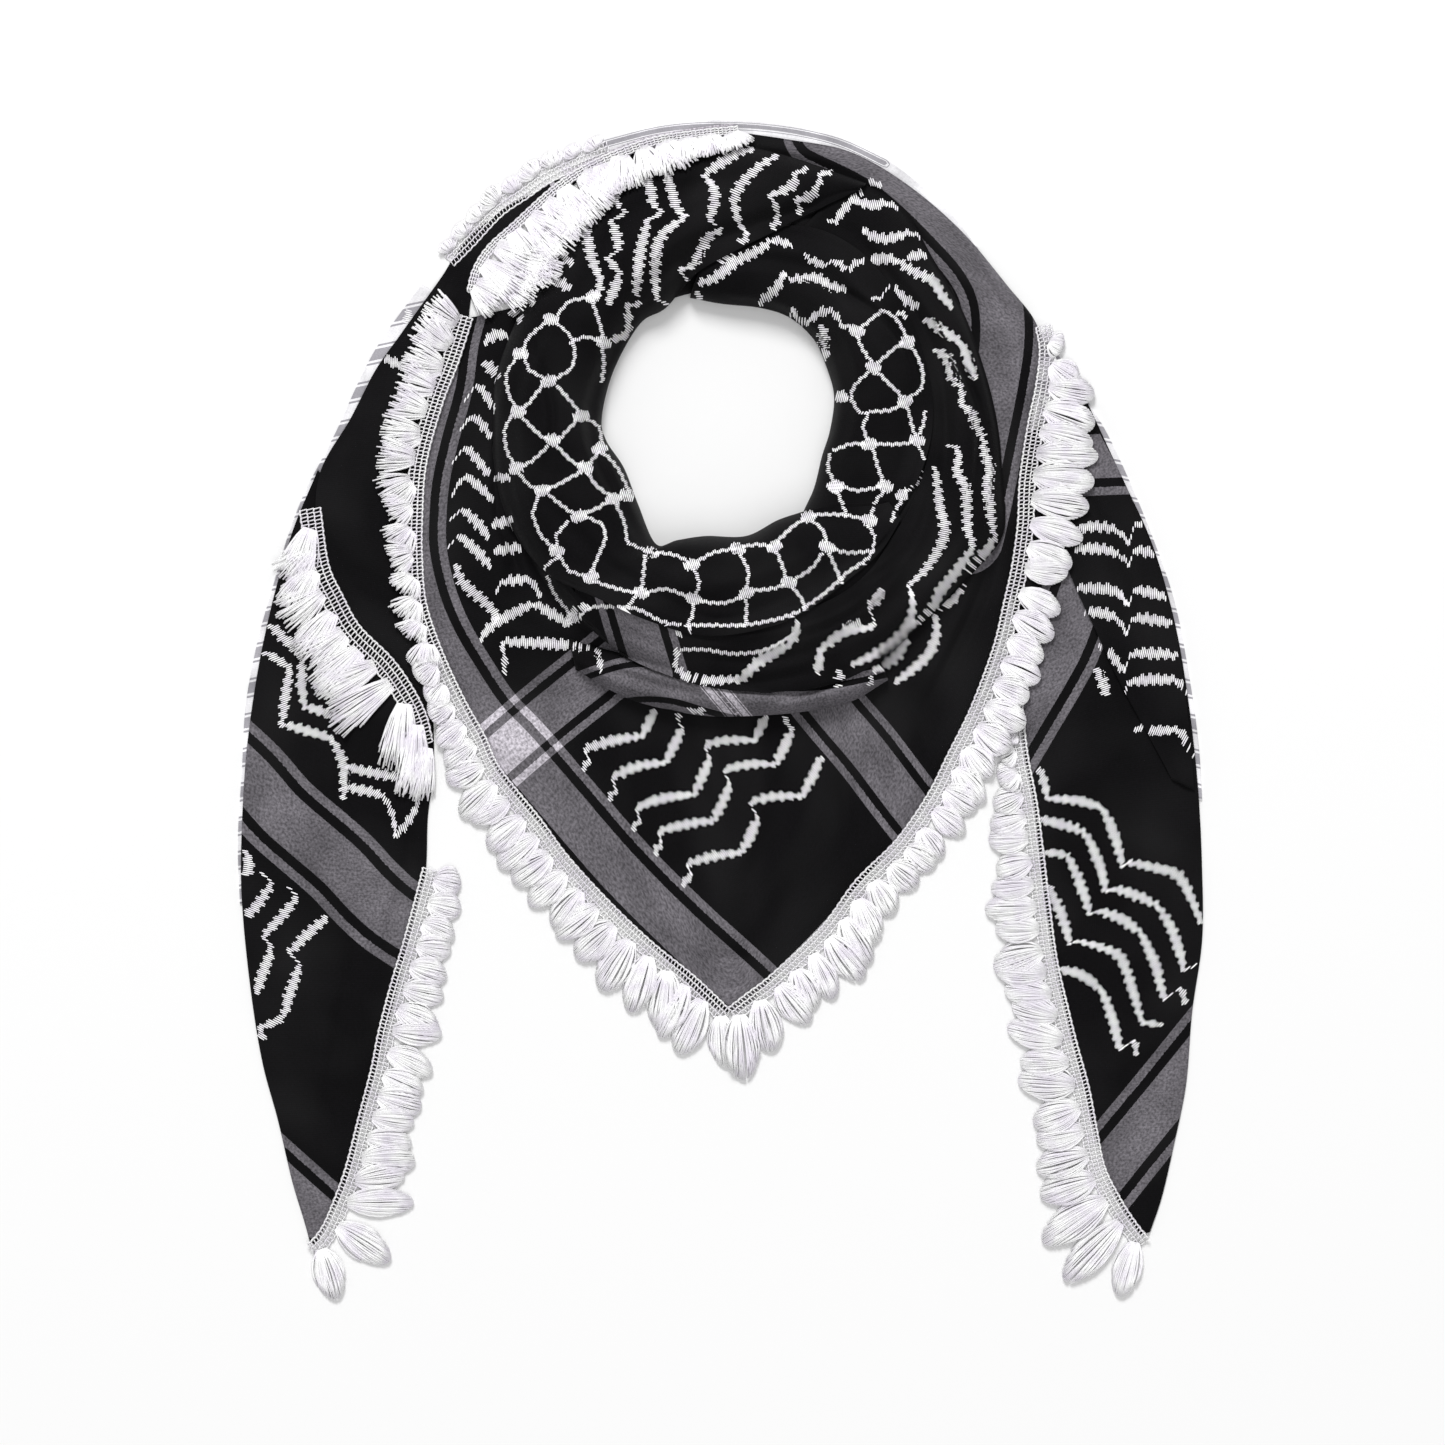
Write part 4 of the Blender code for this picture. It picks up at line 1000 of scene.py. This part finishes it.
def lay_trim(name, table, cut_until=0.0, tape=TAPE_WIDTH, strands=50):
    """A trim: its openwork tape on the cloth's edge, and the tassels that hang from it."""
    rows = smooth_rows(table, SECTIONS)
    along = gone_along(rows[:, :2])
    height = pile.support()
    base = np.maximum(widened(height), softened(widened(widened(height)), 6))
    tape_data = make_tape(name, base, rows, along, tape)
    strand_data, lines = make_tassels(name, base, rows, along, cut_until, tape, strands)
    joined = bmesh.new()
    for data in (tape_data, strand_data):
        joined.from_mesh(data)
    whole = bpy.data.meshes.new(name + "_yarn")
    joined.to_mesh(whole)
    joined.free()
    whole.shade_smooth()
    pile.add(name, lines.reshape(-1, 3) + (0, 0, STRAND))
    trim = show(name + "_yarn", whole, tassel_cotton)
    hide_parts(name)


def linear(hex_colour):
    """An sRGB hex colour as the linear numbers that a shader takes."""
    parts = [int(hex_colour[i:i + 2], 16) / 255 for i in (1, 3, 5)]
    return tuple(p / 12.92 if p <= 0.04045 else ((p + 0.055) / 1.055) ** 2.4 for p in parts) + (1,)


def add_node(tree, kind, settings=None, inputs=None):
    """Adds a node with its settings, and its inputs either linked from a socket or set to a value."""
    node = tree.nodes.new("ShaderNode" + kind)
    for name, value in (settings or {}).items():
        setattr(node, name, value)
    for name, value in (inputs or {}).items():
        if isinstance(value, bpy.types.NodeSocket):
            tree.links.new(value, node.inputs[name])
        else:
            node.inputs[name].default_value = value
    return node


def set_stops(ramp, stops, interpolation="LINEAR"):
    """Gives a colour ramp its stops, each a place and a linear colour."""
    ramp.interpolation = interpolation
    while len(ramp.elements) > 1:
        ramp.elements.remove(ramp.elements[0])
    for number, (place, colour) in enumerate(stops):
        stop = ramp.elements[0] if number == 0 else ramp.elements.new(place)
        stop.position = place
        stop.color = colour


def new_material(name):
    """An empty material with its output and its shader."""
    material = bpy.data.materials.new(name)
    material.use_nodes = True
    tree = material.node_tree
    tree.nodes.clear()
    shader = add_node(tree, "BsdfPrincipled")
    add_node(tree, "OutputMaterial", inputs={"Surface": shader.outputs[0]})
    return material, tree, shader


def cotton_muslin(name, ground, crossed, doubled, sheen, speckled):
    """Plain-woven cotton, dark where black crosses black, grey where it crosses white, pale at two bands."""
    material, tree, shader = new_material(name)
    threads = add_node(tree, "UVMap", {"uv_map": "threads"}).outputs[0]
    speckle = add_node(tree, "TexNoise", inputs={"Vector": threads, "Scale": 1 / (1.3 * MM), "Detail": 1.0})
    mottle = add_node(tree, "TexNoise", inputs={"Vector": threads, "Scale": 1 / (26 * MM), "Detail": 3.0})
    on = (1, 1, 1, 1)
    off = (0, 0, 0, 1)
    white = []
    for system in ("warp", "weft"):
        away = add_node(tree, "Attribute", {"attribute_name": "from_" + system + "_band"}).outputs["Fac"]
        frayed = add_node(tree, "Math", {"operation": "MULTIPLY_ADD"},
                          {0: speckle.outputs[0], 1: 0.9, 2: away})
        scaled = add_node(tree, "Math", {"operation": "DIVIDE"}, {0: frayed.outputs[0], 1: 50.0})
        ramp = add_node(tree, "ValToRGB", inputs={0: scaled.outputs[0]})
        stops = zip((0.0, BAND_HALF / 50, STRIPE_FROM / 50, STRIPE_TO / 50), (on, off, on, off))
        set_stops(ramp.color_ramp, stops, "CONSTANT")
        white.append(ramp.outputs[0])
    total = add_node(tree, "Math", {"operation": "ADD"}, {0: white[0], 1: white[1]})
    half = add_node(tree, "Math", {"operation": "MULTIPLY"}, {0: total.outputs[0], 1: 0.5})
    tone = add_node(tree, "ValToRGB", inputs={0: half.outputs[0]})
    set_stops(tone.color_ramp, [(0.0, linear(ground)), (0.5, linear(crossed)), (1.0, linear(doubled))])
    grain = add_node(tree, "MapRange",
                     inputs={0: speckle.outputs[0], 1: 0.3, 2: 0.7, 3: 1 - speckled, 4: 1 + speckled})
    cloud = add_node(tree, "MapRange", inputs={0: mottle.outputs[0], 1: 0.3, 2: 0.7, 3: 0.72, 4: 1.28})
    both = add_node(tree, "Math", {"operation": "MULTIPLY"}, {0: grain.outputs[0], 1: cloud.outputs[0]})
    shaded = add_node(tree, "VectorMath", {"operation": "SCALE"},
                      {0: tone.outputs[0], "Scale": both.outputs[0]})
    # Painted light: broad patches, placed at random, a little lighter on the muslin, as if light from the
    # pale floor showed through the thin cloth.
    thin = add_node(tree, "TexNoise", inputs={"Vector": threads, "Scale": 1 / (75 * MM), "Detail": 2.0})
    painted_show_through = add_node(tree, "MapRange", inputs={0: thin.outputs[0], 1: 0.42, 2: 0.72, 3: 0.0, 4: 0.009})
    lighter = add_node(tree, "VectorMath", {"operation": "ADD"}, {0: shaded.outputs[0], 1: painted_show_through.outputs[0]})
    tree.links.new(lighter.outputs[0], shader.inputs["Base Color"])
    pitch = THREAD_PITCH * MM
    waves = {"Vector": threads, "Scale": 2 * math.pi / 20 / pitch, "Distortion": 0.4}
    warp = add_node(tree, "TexWave", {"bands_direction": "X"}, waves)
    weft = add_node(tree, "TexWave", {"bands_direction": "Y"}, waves)
    crossing = add_node(tree, "Math", {"operation": "MULTIPLY"}, {0: warp.outputs[1], 1: weft.outputs[1]})
    relief = add_node(tree, "Bump", inputs={"Strength": 0.35, "Distance": 0.25 * MM,
                                            "Height": crossing.outputs[0]})
    slack = add_node(tree, "Bump", inputs={"Strength": 0.6, "Distance": 1.6 * MM,
                                           "Height": mottle.outputs[0], "Normal": relief.outputs[0]})
    tree.links.new(slack.outputs[0], shader.inputs["Normal"])
    shader.inputs["Roughness"].default_value = 0.82
    shader.inputs["Specular IOR Level"].default_value = 0.12
    shader.inputs["Sheen Weight"].default_value = sheen
    shader.inputs["Sheen Roughness"].default_value = 0.45
    return material


def cotton_yarn(name, pale, painted_shade, roughness, scale):
    """Bleached cotton yarn: soft white, with a painted lavender shade in random patches that stands in for
    the shadow where the strands lie deeper.
    """
    material, tree, shader = new_material(name)
    place = add_node(tree, "TexCoord").outputs["Object"]
    # Painted shade: random patches of the lavender shade colour, standing in for the shadow between strands.
    painted_shade_noise = add_node(tree, "TexNoise", inputs={"Vector": place, "Scale": 1 / (scale * MM), "Detail": 2.0})
    tone = add_node(tree, "ValToRGB", inputs={0: painted_shade_noise.outputs[0]})
    set_stops(tone.color_ramp, [(0.32, linear(painted_shade)), (0.62, linear(pale))])
    tree.links.new(tone.outputs[0], shader.inputs["Base Color"])
    fibre = add_node(tree, "TexNoise", inputs={"Vector": place, "Scale": 1 / (0.7 * MM), "Detail": 2.0})
    relief = add_node(tree, "Bump",
                      inputs={"Strength": 0.4, "Distance": 0.2 * MM, "Height": fibre.outputs[0]})
    tree.links.new(relief.outputs[0], shader.inputs["Normal"])
    shader.inputs["Roughness"].default_value = roughness
    shader.inputs["Specular IOR Level"].default_value = 0.3
    shader.inputs["Sheen Weight"].default_value = 0.25
    return material


def hidden_rows(table):
    """The sections of the hidden folds, which stand highest at the front and back from the neck hole."""
    middle_y = sum(row[1] for row in table) / len(table)
    half = max(row[1] for row in table) - middle_y
    rows = []
    for hole_x, hole_y, outer_x, outer_y in table:
        width = math.hypot(outer_x - hole_x, outer_y - hole_y)
        inset = HIDDEN_INSET / width
        crown = HIDDEN_MEAN + HIDDEN_SWELL * (middle_y - hole_y) / half
        start_x = hole_x + (outer_x - hole_x) * inset
        start_y = hole_y + (outer_y - hole_y) * inset
        rows.append((start_x, start_y, outer_x, outer_y, crown))
    return rows


def lay_cloth(name, table, held, rests_on="floor", also=(), under=False):
    stretch = Stretch(name, table, 0.0 if under else UNEVENNESS)
    if under:
        cloth = weave(stretch, reverse_cotton)
    else:
        cloth = weave(stretch, black_cotton)
    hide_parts(name, *also)
    laid.append((stretch, cloth, held, [rests_on]))


def finish_cloth():
    """Weaves the figure into whichever stretch is on top."""
    middles, halves = figure_floats()
    top = np.maximum.reduce([pile.tops[stretch.name] for stretch, *_ in laid])
    for stretch, cloth, held, rests_on in laid:
        figure = weave_figure(stretch, top, middles, halves, float_cotton)
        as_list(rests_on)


def make_floor():
    """A plain pale floor under the scarf."""
    grid = bmesh.new()
    bmesh.ops.create_grid(grid, x_segments=1, y_segments=1, size=6)
    data = bpy.data.meshes.new("floor")
    grid.to_mesh(data)
    grid.free()
    # Matt white background paper, calendered and unprinted: flat, with no gloss and no grain at this scale.
    material, tree, shader = new_material("matt_white_paper")
    shader.inputs["Base Color"].default_value = linear("#f6f6f6")
    shader.inputs["Roughness"].default_value = 1.0
    shader.inputs["Specular IOR Level"].default_value = 0.0
    data.materials.append(material)
    put("floor", data)


def add_light(name, place, size, power):
    """A soft square light that faces the scarf, in metres and watts."""
    data = bpy.data.lights.new(name, "AREA")
    data.size = size
    data.energy = power
    light = put(name, data)
    light.location = place
    light.rotation_mode = "QUATERNION"
    light.rotation_quaternion = Vector(place).to_track_quat("Z", "Y")


def light_the_scene():
    """Even studio light from all round, with a soft main light from past the neck of the scarf."""
    world = bpy.data.worlds.new("studio")
    world.use_nodes = True
    backdrop = world.node_tree.nodes["Background"]
    backdrop.inputs["Color"].default_value = (1, 1, 1, 1)
    backdrop.inputs["Strength"].default_value = 0.49
    bpy.context.scene.world = world
    add_light("main_light", (-0.9, 5.3, 4.8), 2.2, 372)
    add_light("fill_light", (0.7, -3.0, 5.5), 3.5, 66)
    bpy.context.scene.view_settings.view_transform = "Standard"


def set_up_camera():
    """The camera looks straight down, with the neck of the scarf at the top of the view."""
    data = bpy.data.cameras.new("camera")
    data.lens = LENS
    data.sensor_width = SENSOR
    distance = VIEW_WIDTH * LENS / SENSOR * MM
    data.clip_start = 0.1
    data.clip_end = 100
    camera = put("camera", data)
    camera.location = (1.25 * MM, -5.75 * MM, distance)
    bpy.context.scene.camera = camera


pile = Pile()
laid = []
# The cloth is taken as cotton muslin of dyed yarn, plain-woven from fine singles and left unfinished. It is
# matt and deep black, with a faint mottle where threads bunch. White weft and warp make its grey bands.
black_cotton = cotton_muslin("piece_dyed_cotton_muslin", "#050406", "#656267", "#bdb8c0", 0.03, 0.42)
# The same muslin from behind, where the white yarn floats: nearly white, with thin grey stripes.
reverse_cotton = cotton_muslin("cotton_muslin_reverse", "#f2f1f4", "#a3a1a7", "#efedf1", 0.05, 0.06)
# The figure is mercerised cotton, laid over the ground as loose floats: clean white with a soft gleam.
# Its faint lavender patches are painted shade, placed at random.
float_cotton = cotton_yarn("mercerised_cotton_floats", "#ffffff", "#f1edf5", 0.7, 5)
# The trim is bleached cotton yarn, loosely twisted, knotted into a ladder and looped or cut into tassels.
# It is fluffy and matt, with a faint lavender painted shade, placed at random, standing in for the shadow
# between the strands.
tassel_cotton = cotton_yarn("bleached_cotton_yarn", "#ffffff", "#f3eff7", 0.75, 9)

lay_cloth("under_ply_left", UNDER_PLY_LEFT, "laid", under=True)
lay_cloth("under_ply_back", UNDER_PLY_BACK, "laid", under=True)
lay_cloth("under_ply_right", UNDER_PLY_RIGHT, "laid", under=True)
lay_trim("back_trim_outer", BACK_TRIM_OUTER)
lay_cloth("left_tail", LEFT_TAIL, "folded")
lay_trim("left_tail_trim", LEFT_TAIL_TRIM)
lay_cloth("right_tail", RIGHT_TAIL, "folded")
lay_trim("right_tail_trim", RIGHT_TAIL_TRIM)
lay_cloth("right_tail_fold", RIGHT_TAIL_FOLD, "folded", "right_tail_cloth")
lay_cloth("left_flap", LEFT_FLAP, "folded", "left_tail_cloth")
lay_trim("flap_trim", FLAP_TRIM, cut_until=1.0, tape=9)
lay_cloth("hidden_folds", hidden_rows(HIDDEN_FOLDS), "gathered")
# The bib and its banded edge round the back are one sheet, joined at the section that they share.
lay_cloth("front_bib", FRONT_BIB + BACK_BAND[1:], "draped", "hidden_folds_cloth", also=("back_band",))
lay_trim("bib_trim_left", BIB_TRIM_LEFT, cut_until=0.42)
lay_trim("bib_trim_right", BIB_TRIM_RIGHT)
lay_cloth("front_roll", FRONT_ROLL, "gathered", "front_bib_cloth")
lay_cloth("outer_wrap", OUTER_WRAP, "gathered", "hidden_folds_cloth")
lay_cloth("inner_collar", INNER_COLLAR, "gathered", "hidden_folds_cloth")
lay_cloth("main_wrap", MAIN_WRAP, "gathered", "hidden_folds_cloth")
lay_trim("back_trim_inner", BACK_TRIM_INNER, cut_until=1.0, tape=2.4, strands=80)
finish_cloth()

make_floor()
light_the_scene()
set_up_camera()
